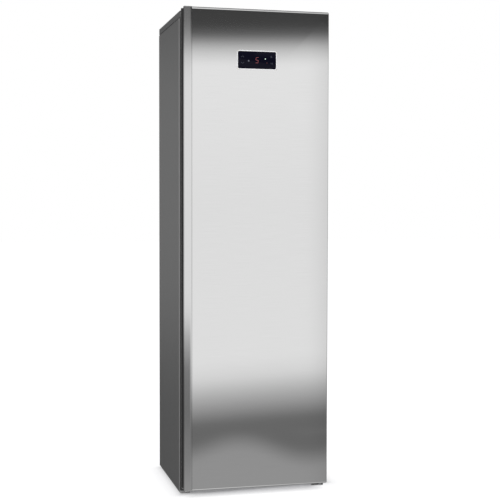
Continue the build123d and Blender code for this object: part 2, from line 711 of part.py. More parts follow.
def door_top_cap():
    z = (HEIGHT - CAP_HEIGHT, HEIGHT - CAP_SINK)
    cap = door_cap(z, TOP_ROLL - SHEET, (0, HEIGHT - SHEET - LAP))
    cap -= hinge_notch()
    return cap - round_bar(PIN_RADIUS + RUN + BUSH_WALL + LAP,
                           (HINGE_X, HINGE_Y, NOTCH_FLOOR - BUSH_LENGTH - LAP), 2 * BUSH_LENGTH)


def door_bottom_cap():
    z = (CAP_BOTTOM, DOOR_LIFT + CAP_HEIGHT)
    cap = door_cap(z, BOTTOM_ROLL, (DOOR_LIFT + SHEET + LAP, HEIGHT))
    return cap - round_bar(PIN_RADIUS + RUN + BUSH_WALL + LAP,
                           (HINGE_X, HINGE_Y, CAP_BOTTOM - BUSH_LENGTH), 2 * BUSH_LENGTH + LAP)


def hinge_bush(face, inward):
    """Flanged bush: its flange lies on the cap's face, its sleeve points inward."""
    radius = PIN_RADIUS + RUN + BUSH_WALL
    axis = (0, 0, inward)
    sleeve = round_bar(radius, (HINGE_X, HINGE_Y, face), BUSH_LENGTH, axis)
    flange = round_bar(radius + BUSH_FLANGE, (HINGE_X, HINGE_Y, face), BUSH_FLANGE_HEIGHT,
                       (0, 0, -inward))
    start = (HINGE_X, HINGE_Y, face - inward * 2 * BUSH_FLANGE_HEIGHT)
    return sleeve + flange - round_bar(PIN_RADIUS + RUN, start, 2 * BUSH_LENGTH, axis)


def grip_outline():
    """Section of the grip profile: a front strip that turns back into a recess."""
    lip = DOOR_FRONT + GRIP_LIP
    points = [(SEAM_X, DOOR_FRONT), (LEFT, DOOR_FRONT), (LEFT, lip), (LEFT + GRIP_RECESS, lip),
              (LEFT + GRIP_RECESS, lip + GRIP_MOUTH), (LEFT, lip + GRIP_MOUTH),
              (LEFT, CASE_BACK), (SEAM_X, CASE_BACK)]
    outline = outline_of(points)
    left = outline.vertices().group_by(Axis.X)[0]
    inner = [v for v in outline.vertices() if abs(v.X - LEFT - GRIP_RECESS) < 0.1]
    outline = fillet(left.sort_by(Axis.Y)[0:3] + inner, GRIP_EDGE_RADIUS)
    return outline


def grip_profile():
    outline = grip_outline()
    hollow = offset(outline, -GRIP_WALL)
    return upright(outline - hollow, (DOOR_LIFT + GRIP_WALL + LAP, HEIGHT - GRIP_WALL - LAP))


def grip_end_caps():
    outline = grip_outline()
    low = upright(outline, (DOOR_LIFT, DOOR_LIFT + GRIP_WALL))
    high = upright(outline, (HEIGHT - GRIP_WALL, HEIGHT))
    return [low, high]


def ring_form(grow):
    """The door liner's raised ring, drawn in by a wall towards its inside."""
    centre_z = (RING_BOTTOM + RING_TOP) / 2
    width, height = 2 * (RING_HALF - grow), RING_TOP - RING_BOTTOM - 2 * grow
    y = (DOOR_BACK - PLASTIC - 1, DOOR_BACK + RING_DEPTH - grow)
    outside = faced(width, height, RING_RADIUS - grow, 0, centre_z, y)
    outside = fillet(outside.faces().sort_by(Axis.Y)[-1].edges(), LINER_RADIUS - grow)
    cut = 2 * (RING_WIDTH - 2 * grow)
    return outside - faced(width - cut, height - cut, RING_RADIUS / 2 + grow, 0, centre_z,
                           (y[0] - 1, y[1] + 1))


def door_liner():
    """Inner door skin with the raised ring that holds the bins."""
    sheet = block((LEFT + SHEET, RIGHT - SHEET), (DOOR_BACK - PLASTIC, DOOR_BACK),
                  (DOOR_LIFT + GRIP_WALL, HEIGHT - NOTCH_DEPTH))
    ring = ring_form(0) & block((-WIDTH, WIDTH), (DOOR_BACK - PLASTIC, BIN_BACK), (0, HEIGHT))
    return sheet + ring - ring_form(PLASTIC)


def door_foam():
    """Insulation inside the door: a slab, and four strips that fill the liner's ring."""
    z = (DOOR_LIFT + CAP_HEIGHT + LAP, HEIGHT - CAP_HEIGHT - LAP)
    core = block(cap_x(), (DOOR_FRONT + SHEET + LAP, CASE_BACK), z)
    front_right = core.edges().filter_by(Axis.Z).group_by(Axis.Y)[0].sort_by(Axis.X)[-1]
    core = fillet(front_right, SKIN_CORNER - SHEET - LAP)
    depth = DISPLAY_GLASS + BOARD_DEPTH + 2 * LAP
    core -= display_space(0, (DOOR_FRONT, DOOR_FRONT + depth))
    return [core] + ring_strips()


def ring_strips():
    """The foam in the ring: a rail below, a rail above and an upright on each side."""
    wall = PLASTIC + LAP
    width, half = RING_WIDTH - 2 * wall, RING_HALF - wall
    low, high = RING_BOTTOM + wall, RING_TOP - wall
    y = (CASE_BACK + LAP, BIN_BACK)
    spans = [((-half, half), (low, low + width)), ((-half, half), (high - width, high))]
    for x in ((-half, width - half), (half - width, half)):
        spans.append((x, (low + width + LAP, high - width - LAP)))
    ring = ring_form(wall)
    return [ring & block(x, y, z) for x, z in spans]


def door_gasket():
    """Magnetic seal: a foot on the door, a narrow bellows and a wide head."""
    half = HINGE_X - LAP
    low, high = FLOOR - (half - INNER_HALF), CEILING + (half - INNER_HALF)
    width, height, middle = 2 * half, high - low, (low + high) / 2
    rear = CAB_FRONT - FIT
    foot = DOOR_BACK + LAP

    def band(inset, y):
        ring = faced(width - 2 * inset, height - 2 * inset, GASKET_RADIUS, 0, middle, y)
        wide = GASKET_WIDTH - 2 * inset
        return ring - faced(width - 2 * inset - 2 * wide, height - 2 * inset - 2 * wide,
                            GASKET_RADIUS / 2, 0, middle, (y[0] - 1, y[1] + 1))

    neck = (GASKET_WIDTH - GASKET_NECK) / 2
    seal = band(0, (foot, foot + GASKET_FOOT)) + band(0, (rear - GASKET_HEAD, rear))
    return seal + band(neck, (foot, rear))


def door_bin(level, height):
    """Door bin between the ring's uprights, with a leaning front wall."""
    top = level + height
    points = [(DOOR_BACK + FIT, level), (BIN_BACK - BIN_LEAN, level), (BIN_BACK, top),
              (DOOR_BACK + FIT, top)]
    return tray(points, (-BIN_HALF, BIN_HALF), BIN_WALL, BIN_CORNER)


def dairy_box():
    """Top door bin, whose end walls rise to carry the lid's pins."""
    box = door_bin(DAIRY_LEVEL, DAIRY_HEIGHT)
    top = DAIRY_LEVEL + DAIRY_HEIGHT
    ear = outline_of([(DOOR_BACK + FIT, top - BIN_WALL), (LID_Y + 8 * LID_PIN, top - BIN_WALL),
                      (LID_Y + 2 * LID_PIN, top + DAIRY_EAR), (DOOR_BACK + FIT, top + DAIRY_EAR)])
    for x in ((-BIN_HALF, -BIN_HALF + BIN_WALL), (BIN_HALF - BIN_WALL, BIN_HALF)):
        box += across(ear, x)
    bore = round_bar(LID_PIN + RUN, (-BIN_HALF - 1, LID_Y, LID_Z), 2 * BIN_HALF + 2, (1, 0, 0))
    return box - bore


def dairy_lid():
    """Clear lid: a roof and a front, turning on two stub pins at the door's side."""
    half = BIN_HALF - BIN_WALL - FIT
    low = DAIRY_LEVEL + DAIRY_HEIGHT + FIT
    section = bent([(LID_Y, LID_Z + LID_PIN), (BIN_BACK, LID_Z + LID_PIN), (BIN_BACK, low)],
                   BIN_CORNER, Side.RIGHT, LID_WALL)
    lid = across(section, (-half, half))
    barrel = round_bar(LID_PIN, (-half, LID_Y, LID_Z), 2 * half, (1, 0, 0))
    pins = round_bar(LID_PIN, (-BIN_HALF + LAP, LID_Y, LID_Z), 2 * (BIN_HALF - LAP), (1, 0, 0))
    return lid + barrel + pins


def bottle_stop():
    """Fin that slides along the bottle bin on the top edge of its front wall."""
    top = BOTTLE_BIN_LEVEL + BOTTLE_BIN_HEIGHT
    wall_y = BIN_BACK - BIN_WALL - BIN_LEAN * STOP_DROP / BOTTLE_BIN_HEIGHT
    hook = BIN_BACK + FIT
    points = [(wall_y - FIT - STOP_REACH, top - STOP_DROP), (wall_y - FIT, top - STOP_DROP),
              (wall_y - FIT, top - STOP_DROP + 1), (BIN_BACK - BIN_WALL - FIT - 1, top + FIT),
              (hook, top + FIT), (hook, top - STOP_HOOK), (hook + BIN_WALL, top - STOP_HOOK),
              (hook + BIN_WALL, top + FIT + BIN_WALL),
              (wall_y - FIT - BIN_WALL, top + FIT + BIN_WALL)]
    return across(outline_of(points), (-STOP_WIDTH / 2, STOP_WIDTH / 2))


def upper_hinge_bracket():
    """Stepped plate: its foot is screwed on the cabinet, its leaf reaches over the door."""
    foot_z = SIDE_TOP + LAP
    step_y = CAB_FRONT + BRACKET_STEP
    section = bent([(step_y + BRACKET_FOOT, foot_z), (step_y, foot_z), (step_y, UPPER_LEAF_Z),
                    (CAB_FRONT + LEAF, UPPER_LEAF_Z)], [LEAF + 1, 1], Side.RIGHT, LEAF)
    right = HINGE_X + LEAF_HALF + SHARP_BEND
    bracket = across(section, (right - BRACKET_WIDTH, right))
    leaf = (UPPER_LEAF_Z, UPPER_LEAF_Z + LEAF)
    bracket += block((HINGE_X - LEAF_HALF, HINGE_X + LEAF_HALF), (HINGE_Y, CAB_FRONT + 2 * LEAF),
                     leaf)
    bracket += upright(Pos(HINGE_X, HINGE_Y) * Circle(LEAF_HALF), leaf)
    bracket -= round_bar(PIN_RADIUS + RUN, (HINGE_X, HINGE_Y, leaf[0] - 1), LEAF + 2)
    for place in upper_screw_places():
        bracket -= round_bar(SCREW_RADIUS + LAP, place, 2 * LEAF, (0, 0, -1))
    return bracket


def upper_screw_places():
    """On the foot of the upper bracket, left and right."""
    right = HINGE_X + LEAF_HALF + SHARP_BEND
    y = CAB_FRONT + BRACKET_STEP + BRACKET_FOOT * 0.6
    return [(right - BRACKET_WIDTH * share, y, SIDE_TOP + LAP + LEAF) for share in (0.25, 0.75)]


def lower_hinge_bracket():
    """Angle under the door: its leg is screwed on the front rail, its leaf holds the pin."""
    rear = CAB_FRONT - LAP
    section = bent([(rear, LOWER_LEAF_Z + BRACKET_RISE), (rear, LOWER_LEAF_Z),
                    (HINGE_Y + BRACKET_NOSE, LOWER_LEAF_Z)], LEAF + 2, Side.RIGHT, LEAF)
    half = RIGHT - SHARP_BEND - HINGE_X
    bracket = across(section, (HINGE_X - half, HINGE_X + half))
    leaf = (LOWER_LEAF_Z, LOWER_LEAF_Z + LEAF)
    root = HINGE_Y + BRACKET_NOSE + 1
    bracket += upright(outline_of([(HINGE_X - half, root), (HINGE_X - BRACKET_NOSE, HINGE_Y),
                                   (HINGE_X + BRACKET_NOSE, HINGE_Y), (HINGE_X + half, root)]),
                       leaf)
    bracket += upright(Pos(HINGE_X, HINGE_Y) * Circle(BRACKET_NOSE), leaf)
    bracket -= round_bar(PIN_RADIUS + RUN, (HINGE_X, HINGE_Y, leaf[0] - 1), LEAF + 2)
    for place in lower_screw_places():
        bracket -= round_bar(SCREW_RADIUS + LAP, place, 2 * LEAF, (0, 1, 0))
    return bracket


def lower_screw_places():
    """On the leg of the lower bracket, left and right."""
    y = CAB_FRONT - LAP - LEAF
    z = LOWER_LEAF_Z + BRACKET_RISE * 0.7
    return [(HINGE_X + side * 2 * SCREW_HEAD_RADIUS, y, z) for side in (-1, 1)]


def hinge_screws():
    """Screws of the upper and of the lower bracket."""
    grip = LEAF - LAP
    upper = [screw(place, (0, 0, -1), grip) for place in upper_screw_places()]
    return upper + [screw(place, (0, 1, 0), grip) for place in lower_screw_places()]


def hinge_pins():
    """Upper pin, riveted in its leaf from above, and lower pin with a thrust collar."""
    top = UPPER_LEAF_Z + LEAF
    tip = NOTCH_FLOOR - BUSH_LENGTH + 1
    head = PIN_RADIUS + BUSH_WALL
    upper = round_bar(PIN_RADIUS, (HINGE_X, HINGE_Y, tip), top - tip)
    upper += round_bar(head, (HINGE_X, HINGE_Y, top + RUN), RIVET_HEAD)
    upper += round_bar(PIN_RADIUS, (HINGE_X, HINGE_Y, tip), top + RUN - tip)
    low = LOWER_LEAF_Z - RIVET_HEAD
    seat = LOWER_LEAF_Z + LEAF + RUN
    rest = CAP_BOTTOM - BUSH_FLANGE_HEIGHT - FIT
    lower = round_bar(PIN_RADIUS, (HINGE_X, HINGE_Y, low), CAP_BOTTOM + BUSH_LENGTH - 1 - low)
    lower += round_bar(head, (HINGE_X, HINGE_Y, low - RUN), RIVET_HEAD)
    lower += round_bar(PIN_RADIUS + COLLAR, (HINGE_X, HINGE_Y, seat), rest - seat)
    return [upper, lower]


def hinge_bushes():
    return [hinge_bush(NOTCH_FLOOR, -1), hinge_bush(CAP_BOTTOM, 1)]


def condenser_passes():
    """Odd number of runs, so that the tube ends on the side away from its riser."""
    return int((CONDENSER_TOP - CONDENSER_BOTTOM) / TUBE_PITCH) // 2 * 2 + 1


def riser_x():
    return -CONDENSER_WIDTH / 2 - RISER_OFFSET


def condenser_tube():
    """Riser and serpentine of the condenser in one run of tube."""
    half = CONDENSER_WIDTH / 2
    points = [(riser_x(), TUBE_Y, NICHE_TOP), (riser_x(), TUBE_Y, CONDENSER_TOP)]
    for i in range(condenser_passes()):
        z = CONDENSER_TOP - i * TUBE_PITCH
        side = half if i % 2 == 0 else -half
        if i:
            points.append((-side, TUBE_Y, z))
        points.append((side, TUBE_Y, z))
    points.append((half, TUBE_Y, NICHE_TOP))
    return pipe(points, TUBE_RADIUS, min(TUBE_BEND, 0.49 * TUBE_PITCH))


def wire_places():
    """X of each upright wire, all on the straight stretches of the tube."""
    reach = CONDENSER_WIDTH / 2 - TUBE_BEND - WIRE
    return [reach * (2 * i / (WIRES_PER_SIDE - 1) - 1) for i in range(WIRES_PER_SIDE)]


def condenser_wires():
    """Upright wires that lie on both sides of the tube's runs."""
    low = CONDENSER_TOP - (condenser_passes() - 1) * TUBE_PITCH - WIRE_OVERHANG
    high = CONDENSER_TOP + WIRE_OVERHANG
    near = TUBE_RADIUS + RUN
    wires = []
    for x in wire_places():
        for y in ((TUBE_Y - near - WIRE, TUBE_Y - near), (TUBE_Y + near, TUBE_Y + near + WIRE)):
            wires.append(block((x - WIRE / 2, x + WIRE / 2), y, (low, high)))
    return wires


def condenser_clips():
    """Plastic stand-offs on the back panel that hold runs of the tube between two wires."""
    places = wire_places()
    middle = (places[2] + places[3]) / 2
    step = (condenser_passes() - 1) // CLIPS_PER_SIDE
    clips = []
    for x in (-abs(middle), abs(middle)):
        for i in range(CLIPS_PER_SIDE):
            z = CONDENSER_TOP - (i * step + step // 2) * TUBE_PITCH
            clip = block((x - CLIP_WIDTH / 2, x + CLIP_WIDTH / 2),
                         (BACK_FACE + LAP, TUBE_Y + TUBE_RADIUS + CLIP_WALL),
                         (z - CLIP_HEIGHT / 2, z + CLIP_HEIGHT / 2))
            hold = TUBE_RADIUS + LAP
            clips.append(clip - block((x - CLIP_WIDTH, x + CLIP_WIDTH),
                                      (TUBE_Y - hold, TUBE_Y + hold), (z - hold, z + hold)))
    return clips


def dryer_bottom():
    return NICHE_TOP - LAP - DRYER_LENGTH


def filter_dryer():
    """Copper capsule with two drawn necks, on the end of the condenser tube."""
    low, high = dryer_bottom(), NICHE_TOP - LAP
    neck = TUBE_RADIUS
    outline = [(0, low), (neck, low), (neck, low + DRYER_NECK),
               (DRYER_RADIUS, low + 2 * DRYER_NECK), (DRYER_RADIUS, high - 2 * DRYER_NECK),
               (neck, high - DRYER_NECK), (neck, high), (0, high)]
    capsule = revolve(Plane.XZ * outline_of(outline), axis=Axis.Z)
    return Pos(CONDENSER_WIDTH / 2, TUBE_Y, 0) * capsule


def pipe_entries():
    """Where the suction pipe and the capillary enter the foam."""
    return ((-CONDENSER_WIDTH / 4, COMPRESSOR_Y - SUCTION_OFFSET),
            (CONDENSER_WIDTH / 2, COMPRESSOR_Y + CAPILLARY_OFFSET))


def refrigerant_pipes():
    """Discharge pipe, suction pipe and capillary."""
    half_x, half_y = COMPRESSOR_HALF
    base = MOUNT_TOP + LAP
    z = base + DISCHARGE_LEVEL
    x = COMPRESSOR_X - half_x - LAP
    discharge = pipe([(x, COMPRESSOR_Y, z), (x - PIPE_RUN, COMPRESSOR_Y, z),
                      (x - PIPE_RUN, TUBE_Y, z), (riser_x(), TUBE_Y, z),
                      (riser_x(), TUBE_Y, NICHE_TOP - LAP)], TUBE_RADIUS, PIPE_BEND)
    (suction_x, suction_y), (capillary_x, capillary_y) = pipe_entries()
    z = base + SUCTION_LEVEL + WELD_RIM + TUBE_RADIUS
    x = COMPRESSOR_X - half_x * math.sqrt(1 - (SUCTION_OFFSET / half_y) ** 2) - SCREW_RADIUS / 2
    top = NICHE_TOP + PIPE_BEND
    suction = pipe([(x, suction_y, z), (suction_x, suction_y, z), (suction_x, suction_y, top)],
                   TUBE_RADIUS, PIPE_BEND)
    low = dryer_bottom() - CAPILLARY_DROP
    capillary = pipe([(capillary_x, TUBE_Y, dryer_bottom() - LAP), (capillary_x, TUBE_Y, low),
                      (capillary_x, capillary_y, low), (capillary_x, capillary_y, top)],
                     CAPILLARY_RADIUS, PIPE_BEND)
    return [discharge, suction, capillary]


def stud_places():
    """The four studs under the compressor, in plan."""
    return [(COMPRESSOR_X + i * STUD_SPACING[0] / 2, COMPRESSOR_Y + j * STUD_SPACING[1] / 2)
            for i in (-1, 1) for j in (-1, 1)]


def shell_outline(grow=0):
    half_x, half_y = COMPRESSOR_HALF
    return Pos(COMPRESSOR_X, COMPRESSOR_Y) * Ellipse(half_x + grow, half_y + grow)


def compressor():
    """Hermetic compressor: a welded oval shell on its foot plate."""
    base = MOUNT_TOP + LAP
    length, depth, gauge = FOOT_PLATE
    shell = upright(shell_outline(), (base, base + COMPRESSOR_HEIGHT))
    shell = fillet(shell.faces().sort_by(Axis.Z)[-1].edges(), COMPRESSOR_DOME)
    shell = fillet(shell.faces().sort_by(Axis.Z)[0].edges(), COMPRESSOR_BOWL)
    rim = base + WELD_LEVEL
    shell += upright(shell_outline(WELD_RIM), (rim, rim + WELD_RIM))
    plate = Pos(COMPRESSOR_X, COMPRESSOR_Y) * RectangleRounded(length, depth, GROMMET_RADIUS)
    shell += upright(plate, (base, base + gauge))
    for x, y in stud_places():
        shell -= round_bar(STUD_RADIUS + LAP, (x, y, base - 1), gauge + 2)
    return shell


def compressor_grommets():
    grommets = []
    for x, y in stud_places():
        ring = Circle(GROMMET_RADIUS) - Circle(STUD_RADIUS + LAP)
        grommets.append(upright(Pos(x, y) * ring, (RAIL_LEVEL + LAP, MOUNT_TOP)))
    return grommets


def terminal_box():
    """Cover over the compressor's terminals, shaped to the shell, with the cord inlet."""
    width, depth, height = TERMINAL
    low = MOUNT_TOP + LAP + WELD_LEVEL - height / 2
    x = COMPRESSOR_X + COMPRESSOR_HALF[0]
    cover = block((x - DRYER_NECK, x + width), (COMPRESSOR_Y - depth / 2, COMPRESSOR_Y + depth / 2),
                  (low, low + height))
    cover = fillet(cover.faces().sort_by(Axis.X)[-1].edges(), SHARP_BEND * 2)
    mouth = gland_mouth()
    cover += round_bar(GLAND_RADIUS, mouth, 2 * GLAND_RADIUS, (0, -1, 0))
    cover -= round_bar(GLAND_BORE, mouth, GLAND_DEPTH, (0, -1, 0))
    cover -= upright(shell_outline(LAP), (low - 1, low + height + 1))
    rim = MOUNT_TOP + LAP + WELD_LEVEL
    return cover - upright(shell_outline(WELD_RIM + LAP), (rim - LAP, rim + WELD_RIM + LAP))


def gland_mouth():
    """Where the mains cord enters the terminal cover, from the rear."""
    return (COMPRESSOR_X + COMPRESSOR_HALF[0] + TERMINAL[0] - 2 * GLAND_RADIUS,
            COMPRESSOR_Y + TERMINAL[1] / 2 + GLAND_RADIUS,
            MOUNT_TOP + LAP + WELD_LEVEL - TERMINAL[2] / 2 + 2 * GLAND_RADIUS)


def roller_places():
    return (LEFT + ROLLER_INSET, RIGHT - ROLLER_INSET)


def roller_axis(x):
    return (x, CAB_BACK - ROLLER_FROM_BACK, ROLLER_RADIUS)


def compressor_rail():
    """Channel across the niche with the compressor's studs and the rollers' ears."""
    low = RAIL_LEVEL - RAIL_GAUGE
    front, rear = NICHE_START + RAIL_FRONT_GAP, CAB_BACK - RAIL_REAR_GAP
    section = bent([(front, low + RAIL_FLANGE), (front, low), (rear, low),
                    (rear, low + RAIL_FLANGE)], 2 * RAIL_GAUGE, Side.LEFT, RAIL_GAUGE)
    rail = across(section, (-SHELL_HALF, SHELL_HALF))
    for x, y in stud_places():
        rail += round_bar(STUD_RADIUS, (x, y, low), MOUNT_TOP + 3 * STUD_RADIUS - low)
    for x in roller_places():
        for side in (-1, 1):
            near = x + side * (ROLLER_WIDTH / 2 + FIT)
            rail += roller_ear(sorted((near, near + side * EAR)), low)
    return rail


def roller_ear(x, top):
    """Lug under the rail that holds one end of a roller's axle."""
    y, z = roller_axis(0)[1:]
    outline = Pos(y, z) * Circle(EAR_RADIUS) + outline_of(
        [(y - EAR_RADIUS, z), (y + EAR_RADIUS, z), (y + EAR_RADIUS, top + RAIL_GAUGE / 2),
         (y - EAR_RADIUS, top + RAIL_GAUGE / 2)])
    return across(outline - Pos(y, z) * Circle(AXLE_RADIUS + RUN), x)


def roller_axles():
    half = ROLLER_WIDTH / 2 + FIT + EAR + LAP
    axles = []
    for x in roller_places():
        y, z = roller_axis(x)[1:]
        axle = round_bar(AXLE_RADIUS, (x - half, y, z), 2 * half, (1, 0, 0))
        for side in (-1, 1):
            axle += round_bar(AXLE_RADIUS + EAR / 2, (x + side * half, y, z), EAR / 2,
                              (side, 0, 0))
        axles.append(axle)
    return axles


def rear_roller(x):
    y, z = roller_axis(x)[1:]
    wheel = round_bar(ROLLER_RADIUS, (x - ROLLER_WIDTH / 2, y, z), ROLLER_WIDTH, (1, 0, 0))
    wheel = fillet(wheel.edges(), EAR / 2)
    return wheel - round_bar(AXLE_RADIUS + RUN, (x - ROLLER_WIDTH, y, z), 2 * ROLLER_WIDTH,
                             (1, 0, 0))


def foot_places():
    return (LEFT + FOOT_INSET, RIGHT - FOOT_INSET)


def foot_y():
    return CAB_FRONT + FOOT_BEHIND


def levelling_foot(x):
    """Screw foot: a round pad, a hexagon for the wrench and a stem up into the rail."""
    top = RAIL_LIFT - FIT
    pad = upright(Pos(x, foot_y()) * Circle(FOOT_RADIUS), (0, top / 2))
    nut = upright(Pos(x, foot_y()) * RegularPolygon(FOOT_RADIUS - SHARP_BEND, 6), (top / 2, top))
    return pad + nut + round_bar(STEM_RADIUS, (x, foot_y(), top / 2), STEM_LENGTH - top / 2)


def evaporation_tray():
    """Open tray on the compressor's dome that catches the drain water."""
    length, depth, height = TRAY_SIZE
    low = MOUNT_TOP + COMPRESSOR_HEIGHT + 2 * LAP
    outline = Pos(COMPRESSOR_X, COMPRESSOR_Y + TRAY_SHIFT) * RectangleRounded(
        length, depth, TRAY_RADIUS)
    pan = upright(outline, (low, low + height))
    return pan - upright(offset(outline, -TRAY_WALL), (low + TRAY_WALL, low + height + 1))


def crisper_x(side):
    """Left and right side of one drawer; side is -1 for the left one, 1 for the right one."""
    outer = side * (INNER_HALF - RIB_DEPTH - CRISPER_SIDE_GAP)
    return sorted((outer, side * CRISPER_MIDDLE_GAP / 2))


def shelf_parts():
    """Glass of each shelf, and the trims of all shelves together."""
    glasses = [shelf_glass(level, SHELF_BACK) for level in SHELF_HEIGHTS]
    cover_back = INNER_BACK - CRISPER_COVER_AIR
    trims = shelf_trims(CRISPER_COVER_Z, cover_back)
    for level in SHELF_HEIGHTS:
        trims += shelf_trims(level, SHELF_BACK)
    return glasses, shelf_glass(CRISPER_COVER_Z, cover_back), trims


def all_parts():
    """Every piece by its name; a list is a group of like pieces."""
    left_panel = side_panel_left()
    glasses, cover_glass, trims = shelf_parts()
    parts = {
        "side_panel_left": left_panel,
        "side_panel_right": mirror(left_panel, about=Plane.YZ),
        "top_cover": top_cover(),
        "top_sheet": top_sheet(),
        "base_front_rail": base_front_rail(),
        "base_pan": base_pan(),
        "back_panel": back_panel(),
        "cabinet_foam": cabinet_foam(),
        "inner_liner": inner_liner(),
        "crisper_cover_glass": cover_glass,
        "shelf_trims": trims,
        "ceiling_lamp_cover": lamp_cover(),
        "fan_cover": fan_cover(),
        "fan_motor": fan_motor(),
        "fan_rotor": fan_rotor(),
        "evaporator_plate": evaporator_plate(),
        "drain_tube": drain_tube(),
        "upper_hinge_bracket": upper_hinge_bracket(),
        "lower_hinge_bracket": lower_hinge_bracket(),
        "hinge_pins": hinge_pins(),
        "hinge_screws": hinge_screws(),
        "hinge_bushes": hinge_bushes(),
        "condenser_tube": condenser_tube(),
        "condenser_wires": condenser_wires(),
        "condenser_clips": condenser_clips(),
        "filter_dryer": filter_dryer(),
        "refrigerant_pipes": refrigerant_pipes(),
        "compressor": compressor(),
        "compressor_grommets": compressor_grommets(),
        "terminal_box": terminal_box(),
        "compressor_rail": compressor_rail(),
        "roller_axles": roller_axles(),
        "evaporation_tray": evaporation_tray(),
        "crisper_left": crisper(crisper_x(-1)),
        "crisper_right": crisper(crisper_x(1)),
        "door_skin": door_skin(),
        "grip_profile": grip_profile(),
        "grip_end_caps": grip_end_caps(),
        "door_top_cap": door_top_cap(),
        "door_bottom_cap": door_bottom_cap(),
        "door_foam": door_foam(),
        "door_liner": door_liner(),
        "door_gasket": door_gasket(),
        "display_window": display_window(),
        "display_board": display_board(),
        "dairy_box": dairy_box(),
        "dairy_lid": dairy_lid(),
        "bottle_bin": door_bin(BOTTLE_BIN_LEVEL, BOTTLE_BIN_HEIGHT),
        "bottle_stop": bottle_stop(),
    }
    for number, glass in enumerate(glasses, 1):
        parts[f"shelf_glass_{number}"] = glass
    for number, level in enumerate(BIN_LEVELS, 1):
        parts[f"door_bin_{number}"] = door_bin(level, BIN_HEIGHT)
    for name, foot_x, roller_x in zip(("left", "right"), foot_places(), roller_places()):
        parts[f"levelling_foot_{name}"] = levelling_foot(foot_x)
        parts[f"rear_roller_{name}"] = rear_roller(roller_x)
    return parts


def write_parts():
    os.makedirs("parts", exist_ok=True)
    for name, piece in all_parts().items():
        shape = Compound(children=piece) if isinstance(piece, list) else piece
        export_step(shape, f"parts/{name}.step")


write_parts()
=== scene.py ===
# %% [markdown]
# A freezerless refrigerator, dressed for the camera
#
# The refrigerator stands about two metres tall: a painted steel cabinet, one door of brushed
# steel hinged at the right, and a grip that runs the full height of the door's left edge.
# Its solids come ready-made as a fixed frame. This lesson gives every one of them a finish,
# and models by hand what the solids leave plain, such as the lit display, the smooth
# pipes of the cooling circuit and the heads of the screws.

import bpy
import json
import math
from mathutils import Matrix, Vector

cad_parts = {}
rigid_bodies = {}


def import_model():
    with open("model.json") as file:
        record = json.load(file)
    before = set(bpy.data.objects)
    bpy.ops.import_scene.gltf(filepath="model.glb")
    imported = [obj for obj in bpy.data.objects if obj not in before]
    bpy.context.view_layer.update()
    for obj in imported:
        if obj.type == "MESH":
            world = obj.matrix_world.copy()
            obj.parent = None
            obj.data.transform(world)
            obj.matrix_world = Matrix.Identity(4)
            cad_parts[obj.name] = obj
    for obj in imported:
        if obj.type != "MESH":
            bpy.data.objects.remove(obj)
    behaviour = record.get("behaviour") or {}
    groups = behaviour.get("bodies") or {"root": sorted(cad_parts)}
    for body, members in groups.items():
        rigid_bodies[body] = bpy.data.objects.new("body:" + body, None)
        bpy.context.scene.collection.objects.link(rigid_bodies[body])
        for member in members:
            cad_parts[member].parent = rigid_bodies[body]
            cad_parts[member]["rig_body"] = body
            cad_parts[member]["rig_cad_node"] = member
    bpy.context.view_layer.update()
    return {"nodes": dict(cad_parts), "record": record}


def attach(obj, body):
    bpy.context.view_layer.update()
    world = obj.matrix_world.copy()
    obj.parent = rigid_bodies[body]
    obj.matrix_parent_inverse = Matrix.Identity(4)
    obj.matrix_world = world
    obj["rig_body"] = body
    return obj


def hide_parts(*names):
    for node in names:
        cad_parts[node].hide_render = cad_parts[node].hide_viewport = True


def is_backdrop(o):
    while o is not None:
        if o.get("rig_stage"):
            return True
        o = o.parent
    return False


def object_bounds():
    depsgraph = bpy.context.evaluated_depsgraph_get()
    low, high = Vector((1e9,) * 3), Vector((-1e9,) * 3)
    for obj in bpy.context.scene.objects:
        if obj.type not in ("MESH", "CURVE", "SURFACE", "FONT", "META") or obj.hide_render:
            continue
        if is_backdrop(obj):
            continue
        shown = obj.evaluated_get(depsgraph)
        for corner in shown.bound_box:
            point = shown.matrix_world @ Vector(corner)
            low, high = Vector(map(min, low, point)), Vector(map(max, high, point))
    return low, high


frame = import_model()

# %% [markdown]
# Small helpers come first. An operator in Blender acts on whatever is selected, so each
# piece starts from an empty selection. A finished piece has its place in its mesh and its
# object at the origin, so that a pattern on Object coordinates stays where it is.

# %% Helpers for modelling
MM = 0.001


def clear_selection():
    if bpy.context.object and bpy.context.object.mode != "OBJECT":
        bpy.ops.object.mode_set(mode="OBJECT")
    bpy.ops.object.select_all(action="DESELECT")


def pick(*pieces):
    clear_selection()
    for piece in pieces:
        piece.select_set(True)
    bpy.context.view_layer.objects.active = pieces[0]


def choose(piece, kind, wanted):
    """Goes into edit mode with only the wanted vertices, edges or faces selected."""
    pick(piece)
    bpy.ops.object.mode_set(mode="EDIT")
    bpy.ops.mesh.select_mode(type=kind)
    bpy.ops.mesh.select_all(action="DESELECT")
    bpy.ops.object.mode_set(mode="OBJECT")
    mesh = piece.data
    for part in {"VERT": mesh.vertices, "EDGE": mesh.edges, "FACE": mesh.polygons}[kind]:
        part.select = bool(wanted(part))
    bpy.ops.object.mode_set(mode="EDIT")


def edit_whole(piece):
    """Goes into edit mode with the whole mesh selected."""
    pick(piece)
    bpy.ops.object.mode_set(mode="EDIT")
    bpy.ops.mesh.select_all(action="SELECT")


def leave_edit():
    bpy.ops.object.mode_set(mode="OBJECT")


def modify(piece, kind, **settings):
    """Adds a modifier with these settings and applies it."""
    pick(piece)
    modifier = piece.modifiers.new(kind.lower(), kind)
    for key, value in settings.items():
        setattr(modifier, key, value)
    bpy.ops.object.modifier_apply(modifier=modifier.name)


def smooth(angle):
    """Shades the selected piece smooth where it turns by less than an angle in degrees."""
    bpy.ops.object.shade_smooth_by_angle(angle=math.radians(angle))


